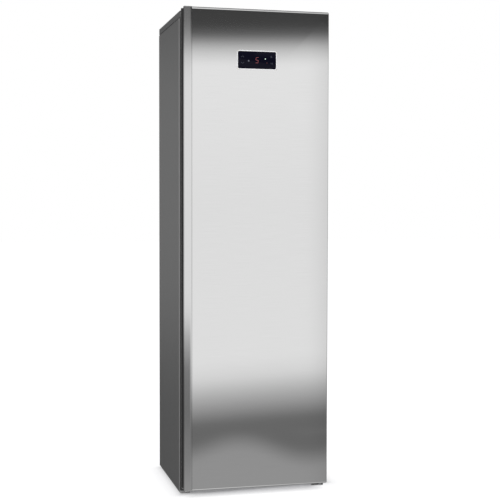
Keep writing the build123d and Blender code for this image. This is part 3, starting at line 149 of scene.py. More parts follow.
def remove(piece):
    pick(piece)
    bpy.ops.object.delete()


def settle(piece, name):
    """Names a piece and moves its place from the object into the mesh."""
    pick(piece)
    bpy.ops.object.transform_apply(location=True, rotation=True, scale=True)
    piece.name = name
    piece.data.name = name
    return piece


def dress(piece, material, body, slot, *nodes):
    """Gives a new piece its material and its body, and hides the nodes it stands for; the slot is
    not used.
    """
    piece.data.materials.clear()
    piece.data.materials.append(material)
    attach(piece, body)
    if nodes:
        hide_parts(*nodes)
    return piece


# %% [markdown]
# The camera stands where the photographer stood: about four and a half metres away, at
# chest height, a little left of the door and turned towards it. The verticals of the
# cabinet stay almost parallel, which says that the lens was long and nearly level.

# %% Camera
HEADING, PITCH, ROLL = math.radians(13.98), math.radians(2.34), math.radians(0.11)
EYE = Vector((-1.1171, -4.6684, 1.175))
LENS, SENSOR = 81.0, 36.0

camera_data = bpy.data.cameras.new("photo_camera")
camera_data.lens = LENS
camera_data.sensor_width = SENSOR
camera = bpy.data.objects.new("photo_camera", camera_data)
bpy.context.scene.collection.objects.link(camera)
camera.matrix_world = (Matrix.Translation(EYE) @ Matrix.Rotation(-HEADING, 4, "Z")
                       @ Matrix.Rotation(math.radians(90) - PITCH, 4, "X")
                       @ Matrix.Rotation(ROLL, 4, "Z"))
bpy.context.scene.camera = camera
print("camera at", [round(v, 3) for v in camera.location], "lens", LENS, "mm")

# %% [markdown]
# A finish is a tree of nodes, and so is the world. The next helpers add a node, link
# sockets, and make what comes back most often: a sum, a ramp of colours and a soft step.

# %% Helpers for nodes
def add(tree, kind, **settings):
    """Adds a node; settings that name a socket set its value, the others the node's own."""
    node = tree.nodes.new(kind)
    for key, value in settings.items():
        if hasattr(node, key):
            setattr(node, key, value)
        else:
            node.inputs[key.replace("_", " ").title()].default_value = value
    return node


def join(tree, *pairs):
    """Links sockets: each pair is a source and its target."""
    for source, target in pairs:
        tree.links.new(source, target)


def math_node(tree, operation, a, b=None, c=None):
    """A Math node whose inputs are sockets or numbers."""
    node = tree.nodes.new("ShaderNodeMath")
    node.operation = operation
    for socket, value in zip(node.inputs, (a, b, c)):
        if value is None:
            continue
        if isinstance(value, bpy.types.NodeSocket):
            tree.links.new(value, socket)
        else:
            socket.default_value = value
    return node.outputs[0]


def ramp(tree, factor, stops):
    """A colour ramp of grey or coloured stops: (position, grey or (r, g, b))."""
    node = tree.nodes.new("ShaderNodeValToRGB")
    elements = node.color_ramp.elements
    while len(elements) < len(stops):
        elements.new(0.5)
    for element, (position, value) in zip(elements, stops):
        element.position = position
        element.color = (*value, 1) if isinstance(value, tuple) else (value, value, value, 1)
    tree.links.new(factor, node.inputs[0])
    return node.outputs[0]


def fade(tree, value, start, end, low, high):
    """A smooth change from low to high while a value goes from start to end."""
    node = add(tree, "ShaderNodeMapRange", interpolation_type="SMOOTHSTEP")
    sockets = ("From Min", "From Max", "To Min", "To Max")
    for socket, number in zip(sockets, (start, end, low, high)):
        node.inputs[socket].default_value = number
    tree.links.new(value, node.inputs["Value"])
    return node.outputs["Result"]


def object_place(tree):
    """Where a spot lies on its piece, which a pattern follows."""
    return add(tree, "ShaderNodeTexCoord").outputs["Object"]


def grey(value):
    return (value, value, value)


# %% [markdown]
# Brushed steel has almost no colour of its own: it shows the room. The studio behind the
# photographer is a bright wall with a dark ceiling edge above it and a darker floor below
# it. A world shader can hold that room as a ramp over the height of the view direction.
# Diffuse light sees one plain pale value, so the colours of paint and plastic stay true,
# and the background itself is white for the camera.

# %% Heights of the room
# Each pair is a height of the view direction, from 0 straight down to 1 straight up, and
# the brightness that gloss sees there. The reflections of floor and wall meet near 0.3.
WALL = [(0.0, 0.78), (0.10, 0.74), (0.16, 0.36), (0.278, 0.355), (0.294, 0.165),
        (0.306, 0.165), (0.330, 0.55), (0.345, 0.84), (0.360, 0.93), (0.50, 0.92),
        (0.622, 0.97), (0.635, 0.66), (0.647, 0.13), (0.656, 0.06), (0.78, 0.045),
        (0.90, 0.8), (1.0, 0.85)]
CORNER = [(0.0, 0.38), (0.250, 0.36), (0.275, 0.27), (0.315, 0.19), (0.355, 0.24),
          (0.380, 0.50), (0.402, 0.86), (0.420, 0.92), (0.612, 0.93), (0.628, 0.80),
          (0.645, 0.34), (0.660, 0.19), (0.78, 0.14), (1.0, 0.15)]
CORNER_START, CORNER_END = 0.165, 0.185
WAVY_BELOW, WAVE_RATE, WAVE_PHASE, WAVE_DEPTH = -0.2, 48.3, -10.03, -0.007
SLOPED_BELOW, SLOPE, SLOPE_MIDDLE = 0.0, -0.08, 0.016
print("room:", len(WALL), "heights of the wall,", len(CORNER), "of the corner")

# %% The room that gloss sees
world = bpy.data.worlds.new("studio")
bpy.context.scene.world = world
world.use_nodes = True
tree = world.node_tree
tree.nodes.clear()
split = add(tree, "ShaderNodeSeparateXYZ")
join(tree, (add(tree, "ShaderNodeTexCoord").outputs["Generated"], split.inputs[0]))
upward = split.outputs["Z"]
ahead = math_node(tree, "MAXIMUM", math_node(tree, "ABSOLUTE", split.outputs["Y"]), 0.05)
sideways = math_node(tree, "DIVIDE", split.outputs["X"], ahead)
wave = math_node(tree, "SINE",
                 math_node(tree, "MULTIPLY_ADD", sideways, WAVE_RATE, WAVE_PHASE))
wavy = math_node(tree, "LESS_THAN", upward, WAVY_BELOW)
sloped = math_node(tree, "SUBTRACT", math_node(tree, "LESS_THAN", upward, SLOPED_BELOW), wavy)
swell = math_node(tree, "MULTIPLY", math_node(tree, "MULTIPLY", wave, WAVE_DEPTH), wavy)
slope = math_node(tree, "MULTIPLY_ADD", sideways, SLOPE, SLOPE_MIDDLE)
slope = math_node(tree, "MULTIPLY", slope, sloped)
height = math_node(tree, "ADD", upward, math_node(tree, "ADD", swell, slope))
wall = ramp(tree, math_node(tree, "ADD", height, 0.5), WALL)
corner = ramp(tree, math_node(tree, "ADD", upward, 0.5), CORNER)
panorama_colour = add(tree, "ShaderNodeMix", data_type="RGBA")
join(tree, (fade(tree, sideways, CORNER_START, CORNER_END, 0.0, 1.0),
            panorama_colour.inputs["Factor"]),
     (corner, panorama_colour.inputs["A"]), (wall, panorama_colour.inputs["B"]))
right_wall = fade(tree, sideways, 0.300, 0.345, 1.0, 0.78)
far_right = fade(tree, sideways, 0.8, 2.0, 1.0, 0.45)
rear = fade(tree, split.outputs["Y"], -0.4, 0.3, 1.0, 0.40)
strength = math_node(tree, "MULTIPLY", math_node(tree, "MULTIPLY", right_wall, far_right), rear)
print("room darker by the right wall, at the far right and at the rear")

# %% What the camera, gloss and diffuse light see
DIFFUSE_LEVEL = 0.70
lights = add(tree, "ShaderNodeLightPath")
plain = add(tree, "ShaderNodeBackground", Strength=DIFFUSE_LEVEL)
panorama = add(tree, "ShaderNodeBackground")
white = add(tree, "ShaderNodeBackground", Strength=1.0)
for background in (plain, white):
    background.inputs["Color"].default_value = (1, 1, 1, 1)
join(tree, (panorama_colour.outputs["Result"], panorama.inputs["Color"]),
     (strength, panorama.inputs["Strength"]))
by_gloss = add(tree, "ShaderNodeMixShader")
join(tree, (lights.outputs["Is Glossy Ray"], by_gloss.inputs[0]),
     (plain.outputs[0], by_gloss.inputs[1]), (panorama.outputs[0], by_gloss.inputs[2]))
seen = math_node(tree, "MAXIMUM", lights.outputs["Is Camera Ray"],
                 lights.outputs["Is Transmission Ray"])
by_camera = add(tree, "ShaderNodeMixShader")
output = add(tree, "ShaderNodeOutputWorld")
join(tree, (seen, by_camera.inputs[0]), (by_gloss.outputs[0], by_camera.inputs[1]),
     (white.outputs[0], by_camera.inputs[2]), (by_camera.outputs[0], output.inputs["Surface"]))
print("world: white to the camera, a studio room to gloss")

# %% [markdown]
# Two large soft lamps give the cabinet its shape: one high in front on the left, one weaker
# on the right. They don't show in the steel, because its reflections come from the room.

# %% Lamps
def soft_lamp(name, place, aim, size, power):
    data = bpy.data.lights.new(name, "AREA")
    data.shape = "RECTANGLE"
    data.size, data.size_y = size
    data.energy = power
    lamp = bpy.data.objects.new(name, data)
    bpy.context.scene.collection.objects.link(lamp)
    lamp.location = place
    lamp.rotation_mode = "QUATERNION"
    lamp.rotation_quaternion = (Vector(aim) - Vector(place)).to_track_quat("-Z", "Y")
    lamp.visible_glossy = False
    lamp.visible_camera = False
    return lamp


soft_lamp("key_lamp", (-3.4, -3.2, 3.6), (0, 0, 0.9), (2.6, 2.6), 120)
soft_lamp("fill_lamp", (3.6, -2.6, 2.6), (0, 0, 0.9), (2.4, 2.4), 50)
soft_lamp("top_lamp", (0.3, 0.4, 4.6), (0, 0, 0), (3.0, 3.0), 90)
print("lamps: key, fill and top")

# %% [markdown]
# The floor is a plain pale plane. To the camera it is lifted to the white of the background,
# so that only the soft shadow round the foot of the refrigerator remains. A lift that is the
# same everywhere would wash the shadow out, so it follows Ambient Occlusion: the node tells
# how much of the sky a spot on the floor sees. The lift also gets weaker within a few
# centimetres of the cabinet's base, measured from a rectangle that reaches out a little to
# the right and whose front is slanted, because the light comes from the left. Deep under
# the cabinet there is next to no lift.

# %% Floor
FLOOR_SIZE, FLOOR_DROP = 60, 0.0002
SKY_REACH = 0.16
SKY_SHADE = [(0.0, (0.38, 0.38, 0.40)), (0.03, (0.84, 0.84, 0.86)), (0.10, (0.94, 0.94, 0.95)),
             (0.4, 1.0)]
clear_selection()
bpy.ops.mesh.primitive_plane_add(size=FLOOR_SIZE, location=(0, 0, -FLOOR_DROP))
floor = bpy.context.object
floor.name = "studio_floor"
floor_finish = bpy.data.materials.new("floor_paint")
floor_finish.use_nodes = True
tree = floor_finish.node_tree
tree.nodes.clear()
matte = add(tree, "ShaderNodeBsdfDiffuse")
matte.inputs["Color"].default_value = (0.32, 0.32, 0.33, 1)
openness = add(tree, "ShaderNodeAmbientOcclusion", samples=16, Distance=SKY_REACH)
lift = add(tree, "ShaderNodeEmission")
join(tree, (ramp(tree, openness.outputs["AO"], SKY_SHADE), lift.inputs["Color"]))
print("floor:", FLOOR_SIZE, "m wide, its lift shaded by the sky it sees")

# %% Shade round the base
BASE_MIDDLE, BASE_HALF, FRONT_SLANT = (0.02, 0.04, 0), (0.3175, 0.24, 1), -0.09
CONTACT_REACH = 0.1
CONTACT = [(0.0, 0.50), (0.09, 0.66), (0.18, 0.76), (0.25, 0.82), (0.33, 0.86), (0.6, 0.925),
           (0.8, 0.96), (1.0, 1.0)]
LIFT, LIFT_LOST_BENEATH = 0.82, 0.75
ground = add(tree, "ShaderNodeSeparateXYZ")
slanted = add(tree, "ShaderNodeCombineXYZ")
join(tree, (object_place(tree), ground.inputs[0]), (ground.outputs["X"], slanted.inputs["X"]),
     (math_node(tree, "MULTIPLY_ADD", ground.outputs["X"], FRONT_SLANT, ground.outputs["Y"]),
      slanted.inputs["Y"]))
spot = slanted.outputs[0]
for operation, value in (("SUBTRACT", BASE_MIDDLE), ("ABSOLUTE", None),
                         ("SUBTRACT", BASE_HALF), ("MAXIMUM", (0, 0, 0))):
    step = add(tree, "ShaderNodeVectorMath", operation=operation)
    join(tree, (spot, step.inputs[0]))
    if value:
        step.inputs[1].default_value = value
    spot = step.outputs[0]
from_base = add(tree, "ShaderNodeVectorMath", operation="LENGTH")
join(tree, (spot, from_base.inputs[0]))
share = math_node(tree, "MULTIPLY", from_base.outputs["Value"], 1 / CONTACT_REACH)
contact = ramp(tree, share, CONTACT)
beneath = fade(tree, math_node(tree, "ABSOLUTE", ground.outputs["X"]), 0.27, 0.30, 1.0, 0.0)
for start, end, low, high in ((-0.14, -0.06, 0.0, 1.0), (0.16, 0.27, 1.0, 0.0)):
    along = fade(tree, ground.outputs["Y"], start, end, low, high)
    beneath = math_node(tree, "MULTIPLY", beneath, along)
lift_level = math_node(tree, "MULTIPLY_ADD", beneath, -LIFT_LOST_BENEATH, LIFT)
join(tree, (math_node(tree, "MULTIPLY", contact, lift_level), lift.inputs["Strength"]))
print("shade reaches", CONTACT_REACH, "m out from the base")

# %% Floor finish
paths = add(tree, "ShaderNodeLightPath")
sum_of = add(tree, "ShaderNodeAddShader")
only_camera = add(tree, "ShaderNodeMixShader")
surface = add(tree, "ShaderNodeOutputMaterial")
join(tree, (matte.outputs[0], sum_of.inputs[0]), (lift.outputs[0], sum_of.inputs[1]),
     (paths.outputs["Is Camera Ray"], only_camera.inputs[0]),
     (matte.outputs[0], only_camera.inputs[1]), (sum_of.outputs[0], only_camera.inputs[2]),
     (only_camera.outputs[0], surface.inputs["Surface"]))
floor.data.materials.append(floor_finish)
floor.visible_glossy = False
floor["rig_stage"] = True
print("floor laid")

# %% [markdown]
# Some effects come back in many finishes, so each is a node group with named inputs.
# "grain" draws the fine parallel scratches of brushed metal: noise that is stretched along
# one axis. "mottle" is the soft, cloudy unevenness of paint, plastic and cast surfaces, and
# "spangle" the frost-like crystals of galvanised sheet. "band" is a mask between two parallel
# planes, which may start at a height, "dust" one of what lies on surfaces that look up, and
# "rims" one of a plate's edges.

# %% How a node group is made
def new_group(name, inputs, *outputs):
    """A group with named inputs, each with a first value, and outputs that are numbers."""
    group = bpy.data.node_groups.new(name, "ShaderNodeTree")
    for socket, value in inputs.items():
        kind = "NodeSocketVector" if isinstance(value, tuple) else "NodeSocketFloat"
        item = group.interface.new_socket(name=socket, in_out="INPUT", socket_type=kind)
        item.default_value = value
    for socket in outputs:
        group.interface.new_socket(name=socket, in_out="OUTPUT", socket_type="NodeSocketFloat")
    return group, group.nodes.new("NodeGroupInput"), group.nodes.new("NodeGroupOutput")


def put_out(group, given, result, pattern, relief):
    """Puts out a shade that swings about 1 by the group's Strength, and a height."""
    around_zero = math_node(group, "SUBTRACT", pattern, 0.5)
    scaled = math_node(group, "MULTIPLY", around_zero, given.outputs["Strength"])
    join(group, (math_node(group, "ADD", scaled, 1.0), result.inputs["Shade"]),
         (relief, result.inputs["Height"]))
    print("node group:", group.name)


# %% Shared effect: grain
grain, given, result = new_group("grain", {"Stretch": (900.0, 900.0, 6.0), "Strength": 0.1},
                                 "Shade", "Height")
stretched = add(grain, "ShaderNodeVectorMath", operation="MULTIPLY")
fine = add(grain, "ShaderNodeTexNoise", Scale=1.0, Detail=2.0)
join(grain, (object_place(grain), stretched.inputs[0]),
     (given.outputs["Stretch"], stretched.inputs[1]),
     (stretched.outputs[0], fine.inputs["Vector"]))
put_out(grain, given, result, fine.outputs["Fac"], fine.outputs["Fac"])

# %% Shared effects: mottle and spangle
mottle, given, result = new_group("mottle", {"Scale": 40.0, "Strength": 0.1},
                                  "Shade", "Height")
cloud = add(mottle, "ShaderNodeTexNoise", Detail=4.0, Roughness=0.6)
join(mottle, (object_place(mottle), cloud.inputs["Vector"]),
     (given.outputs["Scale"], cloud.inputs["Scale"]))
put_out(mottle, given, result, cloud.outputs["Fac"], cloud.outputs["Fac"])

spangle, given, result = new_group("spangle", {"Scale": 90.0, "Strength": 0.2},
                                   "Shade", "Height")
cells = add(spangle, "ShaderNodeTexVoronoi", feature="F1")
crystal = add(spangle, "ShaderNodeSeparateColor")
join(spangle, (object_place(spangle), cells.inputs["Vector"]),
     (given.outputs["Scale"], cells.inputs["Scale"]), (cells.outputs["Color"], crystal.inputs[0]))
put_out(spangle, given, result, crystal.outputs[0], crystal.outputs[1])

# %% Shared effect: band
band, given, result = new_group("band", {"Place": (0.0, 0.0, 0.0), "Along": (0.0, 1.0, 0.0),
                                         "Half Width": 0.002, "Soft": 0.001, "Above": -1.0},
                                "Mask")
place = object_place(band)
height = add(band, "ShaderNodeSeparateXYZ")
away = add(band, "ShaderNodeVectorMath", operation="SUBTRACT")
measure = add(band, "ShaderNodeVectorMath", operation="DOT_PRODUCT")
join(band, (place, height.inputs[0]), (place, away.inputs[0]),
     (given.outputs["Place"], away.inputs[1]), (away.outputs[0], measure.inputs[0]),
     (given.outputs["Along"], measure.inputs[1]))
outside = math_node(band, "SUBTRACT", math_node(band, "ABSOLUTE", measure.outputs["Value"]),
                    given.outputs["Half Width"])
share = math_node(band, "DIVIDE", outside, given.outputs["Soft"])
mask = add(band, "ShaderNodeClamp")
high_enough = math_node(band, "GREATER_THAN", height.outputs["Z"], given.outputs["Above"])
join(band, (math_node(band, "SUBTRACT", 1.0, share), mask.inputs["Value"]),
     (math_node(band, "MULTIPLY", mask.outputs[0], high_enough), result.inputs["Mask"]))
print("node group:", band.name)

# %% Shared effects: dust and rims
dust, given, result = new_group("dust", {"Amount": 0.5, "Scale": 30.0}, "Mask")
facing = add(dust, "ShaderNodeSeparateXYZ")
clumps = add(dust, "ShaderNodeTexNoise", Detail=5.0)
join(dust, (add(dust, "ShaderNodeNewGeometry").outputs["Normal"], facing.inputs[0]),
     (object_place(dust), clumps.inputs["Vector"]),
     (given.outputs["Scale"], clumps.inputs["Scale"]))
lying = fade(dust, facing.outputs["Z"], 0.2, 0.9, 0.0, 1.0)
patches = fade(dust, clumps.outputs["Fac"], 0.35, 0.62, 0.35, 1.0)
join(dust, (math_node(dust, "MULTIPLY", math_node(dust, "MULTIPLY", lying, patches),
                      given.outputs["Amount"]), result.inputs["Mask"]))

rims, given, result = new_group("rims", {"Reach": 0.6}, "Mask")
facing = add(rims, "ShaderNodeSeparateXYZ")
join(rims, (add(rims, "ShaderNodeNewGeometry").outputs["Normal"], facing.inputs[0]))
upright = math_node(rims, "ABSOLUTE", facing.outputs["Z"])
join(rims, (math_node(rims, "LESS_THAN", upright, given.outputs["Reach"]),
            result.inputs["Mask"]))
print("node groups:", dust.name, rims.name)

# %% [markdown]
# Every finish starts the same way: a Principled shader whose colour and roughness are
# shaded by grain, mottle or spangle, and a Bump node for the relief. What is the same all
# over a surface, such as how metallic it is, is set on the shader itself.

# %% How a finish is made
def new_finish(name, colour, roughness, effect, size, strength, relief=0.0, depth=0.001,
               **shader):
    """A material: colour and roughness shaded by an effect group, with a bump from it.

    The size is the effect's Scale, or the Stretch of a grain along the three axes.
    """
    material = bpy.data.materials.new(name)
    material.use_nodes = True
    tree = material.node_tree
    principled = tree.nodes["Principled BSDF"]
    group = add(tree, "ShaderNodeGroup", node_tree=effect)
    group.inputs[0].default_value = size
    group.inputs["Strength"].default_value = strength
    shade = group.outputs["Shade"]
    shaded = add(tree, "ShaderNodeVectorMath", operation="SCALE")
    shaded.inputs[0].default_value = colour
    join(tree, (shade, shaded.inputs["Scale"]),
         (shaded.outputs[0], principled.inputs["Base Color"]),
         (math_node(tree, "MULTIPLY", shade, roughness), principled.inputs["Roughness"]))
    if relief:
        bump = add(tree, "ShaderNodeBump", Strength=relief, Distance=depth)
        join(tree, (group.outputs["Height"], bump.inputs["Height"]),
             (bump.outputs[0], principled.inputs["Normal"]))
    for socket, value in shader.items():
        principled.inputs[socket.replace("_", " ")].default_value = value
    material.diffuse_color = (*colour, 1)
    return material


# %% [markdown]
# The door is stainless steel brushed from side to side, and the grip is aluminium brushed
# along its height. Both are smooth enough to mirror the room, so they get hardly any
# roughness and a fine grain. The cabinet is painted sheet, and what nobody sees is coated
# with zinc or enamel, or bare copper and aluminium.

# %% Metals of the door
steel_door = new_finish(
    "steel_door", grey(0.778), 0.038, grain, size=(8.0, 1400.0, 1400.0), strength=0.12,
    relief=0.01, depth=0.0001, Metallic=1.0)
grip_metal = new_finish(
    "grip_metal", grey(0.735), 0.06, grain, size=(1100.0, 1100.0, 5.0), strength=0.08,
    relief=0.01, depth=0.0001, Metallic=1.0)
# Near black: painted shade of the grip's finger recess and side.
grip_painted_shade = new_finish(
    "grip_painted_shade", grey(0.029), 0.55, mottle, size=1200.0, strength=0.25,
    relief=0.15, depth=0.0002)
print("finishes of the door:", steel_door.name, grip_metal.name, grip_painted_shade.name)

# %% Paints and metals of the cabinet
cabinet_paint = new_finish(
    "cabinet_paint", grey(0.110), 0.36, mottle, size=600.0, strength=0.12,
    relief=0.08, depth=0.0003)
cover_plastic = new_finish(
    "cover_plastic", grey(0.101), 0.50, mottle, size=1400.0, strength=0.25,
    relief=0.15, depth=0.0002)
zinc_sheet = new_finish(
    "zinc_sheet", (0.56, 0.58, 0.60), 0.38, spangle, size=90.0, strength=0.22, Metallic=0.9)
zinc_plate = new_finish(
    "zinc_plate", (0.62, 0.63, 0.64), 0.28, grain, size=(500.0, 60.0, 500.0), strength=0.2,
    relief=0.03, depth=0.0001, Metallic=1.0)
back_paint = new_finish(
    "back_paint", (0.60, 0.60, 0.59), 0.42, mottle, size=500.0, strength=0.08,
    relief=0.05, depth=0.0003)
black_enamel = new_finish(
    "black_enamel", (0.022, 0.022, 0.024), 0.34, mottle, size=900.0, strength=0.3,
    relief=0.1, depth=0.0002)
copper = new_finish(
    "copper", (0.80, 0.42, 0.26), 0.30, mottle, size=160.0, strength=0.4, Metallic=1.0)
bare_aluminium = new_finish(
    "bare_aluminium", (0.78, 0.79, 0.80), 0.34, grain, size=(300.0, 300.0, 12.0),
    strength=0.2, Metallic=1.0)
print("paints and metals of the cabinet made")

# %% [markdown]
# Where the side panels roll round to the front, a pale line down the cabinet is a painted
# highlight on the roll. The flange in front of it is painted dark as shade beside the door's
# seal and pale as a painted highlight below the door, and the seam under the cover is painted
# dark as the shade in its gap. In the machine niche at the back nobody wipes, so its metals
# carry dust on all that faces up.

# %% Painted highlight on the roll, painted shade on flange and seam, dust
def tint(material, effect, colour, roughness=None, **settings):
    """Mixes a colour, and a roughness if one is given, into a finish where a mask group says so."""
    tree = material.node_tree
    principled = tree.nodes["Principled BSDF"]
    group = add(tree, "ShaderNodeGroup", node_tree=effect)
    for socket, value in settings.items():
        group.inputs[socket.replace("_", " ")].default_value = value
    mixes = [("Base Color", "RGBA", (*colour, 1))]
    if roughness is not None:
        mixes.append(("Roughness", "FLOAT", roughness))
    for target, kind, value in mixes:
        mixed = add(tree, "ShaderNodeMix", data_type=kind)
        mixed.inputs["B"].default_value = value
        join(tree, (group.outputs["Mask"], mixed.inputs["Factor"]),
             (principled.inputs[target].links[0].from_socket, mixed.inputs["A"]),
             (mixed.outputs["Result"], principled.inputs[target]))


# Greys painted on the cabinet: a highlight for the roll and the flange's foot, shade for the flange
# and the top seam.
PAINTED_HIGHLIGHT, FLANGE_PAINTED_SHADE, SEAM_PAINTED_SHADE = 0.345, 0.040, 0.018
ROLL_Y, FLANGE_Y, FLANGE_FOOT_Z, TOP_SEAM_Z = -0.195, -0.214, 0.012, 1.9185

# Painted highlight: a pale band down the roll of the side panels.
tint(cabinet_paint, band, grey(PAINTED_HIGHLIGHT), Place=(0, ROLL_Y, 0), Along=(0, 1, 0),
     Half_Width=0.005, Soft=0.003)
# The front flange: a painted highlight below its foot, under the door, and painted shade above it,
# beside the door's seal.
for shade, above in ((PAINTED_HIGHLIGHT, -1.0), (FLANGE_PAINTED_SHADE, FLANGE_FOOT_Z)):
    tint(cabinet_paint, band, grey(shade), Place=(0, FLANGE_Y, 0), Along=(0, 1, 0),
         Half_Width=0.011, Soft=0.002, Above=above)
# Painted shade in the seam under the top cover, on both the panels and the cover.
for finish in (cabinet_paint, cover_plastic):
    tint(finish, band, grey(SEAM_PAINTED_SHADE), Place=(0, 0, TOP_SEAM_Z), Along=(0, 0, 1),
         Half_Width=0.0008, Soft=0.0004)
for finish, amount in ((zinc_sheet, 0.45), (black_enamel, 0.35), (copper, 0.25)):
    tint(finish, dust, (0.30, 0.285, 0.26), 0.9, Amount=amount)
print("pale roll and dark top seam on", cabinet_paint.name, "and dust on the metals of the niche")

# %% [markdown]
# The inside is white formed plastic, the caps and the rollers are moulded in dark plastic,
# the seal is rubber, and the yellow foam between the sheets is full of small cells. None of
# them is quite even, so mottle shades them all, each with its own size and strength. The
# display's inks are lit from behind, so they glow a little.

# %% Plastics
white_plastic = new_finish(
    "white_plastic", (0.84, 0.85, 0.85), 0.32, mottle, size=300.0, strength=0.04,
    relief=0.03, depth=0.0003)
cap_plastic = new_finish(
    "cap_plastic", grey(0.102), 0.50, mottle, size=1200.0, strength=0.25,
    relief=0.15, depth=0.0002)
dark_plastic = new_finish(
    "dark_plastic", (0.022, 0.022, 0.024), 0.48, mottle, size=900.0, strength=0.3,
    relief=0.15, depth=0.0002)
stop_plastic = new_finish(
    "stop_plastic", (0.42, 0.45, 0.47), 0.40, mottle, size=700.0, strength=0.1,
    relief=0.05, depth=0.0002)
frosted_lamp = new_finish(
    "frosted_lamp", (0.90, 0.90, 0.86), 0.55, mottle, size=500.0, strength=0.05,
    relief=0.05, depth=0.0002)
green_board = new_finish(
    "green_board", (0.02, 0.12, 0.06), 0.42, mottle, size=350.0, strength=0.5,
    relief=0.1, depth=0.0002)
print("plastics made")

# %% Rubber, foam and the display's glass
seal_rubber = new_finish(
    "seal_rubber", (0.24, 0.245, 0.25), 0.62, mottle, size=800.0, strength=0.15,
    relief=0.1, depth=0.0002)
black_rubber = new_finish(
    "black_rubber", grey(0.018), 0.78, mottle, size=700.0, strength=0.4,
    relief=0.2, depth=0.0003)
foam = new_finish(
    "foam", (0.80, 0.70, 0.42), 0.85, mottle, size=260.0, strength=0.25,
    relief=0.6, depth=0.0008)
display_black = new_finish(
    "display_black", (0.004, 0.004, 0.011), 0.10, mottle, size=30.0, strength=0.2,
    Specular_IOR_Level=0.08)
# Near white: a painted highlight on the steel edge round the display.
rim_painted_highlight = new_finish(
    "rim_painted_highlight", (0.93, 0.93, 0.94), 0.25, mottle, size=200.0, strength=0.05)
print("rubber, foam and display glass made")

# %% Inks and lights of the display
def glow(name, colour, strength):
    """Ink that is lit from behind: a little emission on a dark body."""
    return new_finish(name, colour, 0.4, mottle, size=900.0, strength=0.3,
                      Emission_Color=(*colour, 1), Emission_Strength=strength)


red_glow = glow("red_glow", (0.26, 0.06, 0.07), 0.07)
dim_red = glow("dim_red", (0.10, 0.02, 0.02), 0.05)
green_glow = glow("green_glow", (0.62, 0.80, 0.66), 0.55)
dim_white = glow("dim_white", (0.13, 0.135, 0.17), 0.10)
pale_ink = glow("pale_ink", (0.05, 0.055, 0.08), 0.06)
print("display inks made")

# %% [markdown]
# The shelves are safety glass with a faint green body, and the bins and drawers are clear
# moulded plastic. Both let light through, so their shader transmits; the bins have the
# slightly cloudier look of polystyrene. Cut edges of glass look dark green, because the eye
# meets them through the whole width of the pane.

# %% Glass and clear plastic
shelf_glass = new_finish(
    "shelf_glass", (0.86, 0.95, 0.93), 0.03, mottle, size=20.0, strength=0.1,
    Transmission_Weight=0.95, IOR=1.5)
clear_plastic = new_finish(
    "clear_plastic", (0.90, 0.93, 0.95), 0.14, mottle, size=60.0, strength=0.1,
    Transmission_Weight=0.80, IOR=1.45)
tint(shelf_glass, rims, (0.22, 0.50, 0.42), Reach=0.6)
print("clear materials made")

# %% [markdown]
# Now each solid of the frame gets its finish. The table reads like a parts list: a finish,
# and the nodes that wear it.

# %% Finishes of the frame's nodes
FINISHES = {
    steel_door: ["door_skin"],
    grip_metal: ["grip_profile", "grip_end_caps"],
    cabinet_paint: ["side_panel_left", "side_panel_right", "base_front_rail", "top_sheet"],
    cover_plastic: ["top_cover"],
    zinc_sheet: ["base_pan", "compressor_rail"],
    back_paint: ["back_panel"],
    foam: ["cabinet_foam", "door_foam"],
    white_plastic: ["inner_liner", "door_liner", "shelf_trims", "fan_cover", "drain_tube",
                    "fan_rotor"],
    shelf_glass: ["crisper_cover_glass", "shelf_glass_1", "shelf_glass_2", "shelf_glass_3",
                  "shelf_glass_4"],
    clear_plastic: ["dairy_box", "dairy_lid", "door_bin_1", "door_bin_2", "door_bin_3",
                    "bottle_bin", "crisper_left", "crisper_right"],
    stop_plastic: ["bottle_stop"],
    frosted_lamp: ["ceiling_lamp_cover"],
    dark_plastic: ["fan_motor", "terminal_box", "condenser_clips", "evaporation_tray",
                   "rear_roller_left", "rear_roller_right", "levelling_foot_left",
                   "levelling_foot_right"],
    bare_aluminium: ["evaporator_plate"],
    zinc_plate: ["upper_hinge_bracket", "lower_hinge_bracket", "hinge_pins", "hinge_screws",
                 "roller_axles"],
    black_enamel: ["condenser_tube", "condenser_wires", "compressor"],
    copper: ["refrigerant_pipes", "filter_dryer"],
    black_rubber: ["compressor_grommets"],
    seal_rubber: ["door_gasket"],
    cap_plastic: ["door_top_cap", "door_bottom_cap", "hinge_bushes"],
    display_black: ["display_window"],
    green_board: ["display_board"],
}
for material, names in FINISHES.items():
    for name in names:
        node = frame["nodes"][name]
        node.data.materials.clear()
        node.data.materials.append(material)
dressed = sum(len(names) for names in FINISHES.values())
print("finished", dressed, "of", len(frame["nodes"]), "nodes")

# %% [markdown]
# A solid from a CAD program has edges as sharp as a knife. Real sheet metal is folded and
# plastic is moulded, so every edge has a small radius that catches a line of light. A solid's
# mesh also comes as loose triangles. So each visible solid gets a stand-in: a copy with its
# triangles merged, flat areas joined, edges bevelled by a width that suits the material, and
# normals weighted by face area, so that large faces stay flat and only the bevels shade round.

# %% Stand-ins with soft edges
SLOTS = {part["node"]: part["material_slot"] for part in frame["record"]["subparts"]}
FINISH_OF = {name: material for material, names in FINISHES.items() for name in names}


def soft_copy(name, width, segments=2, angle=28):
    """A merged copy of one solid with bevelled edges, which stands in for it."""
    node = frame["nodes"][name]
    pick(node)
    bpy.ops.object.duplicate(linked=False)
    piece = bpy.context.object
    del piece["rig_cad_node"]
    bpy.ops.object.parent_clear(type="CLEAR_KEEP_TRANSFORM")
    edit_whole(piece)
    bpy.ops.mesh.remove_doubles(threshold=0.005 * MM)
    bpy.ops.mesh.dissolve_limited(angle_limit=math.radians(0.3))
    leave_edit()
    if width:
        modify(piece, "BEVEL", width=width * MM, segments=segments, limit_method="ANGLE",
               angle_limit=math.radians(angle), miter_outer="MITER_ARC")
    smooth(angle)
    modify(piece, "WEIGHTED_NORMAL", keep_sharp=True)
    settle(piece, name + "_dressed")
    return dress(piece, FINISH_OF[name], node["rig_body"], SLOTS[name], name)


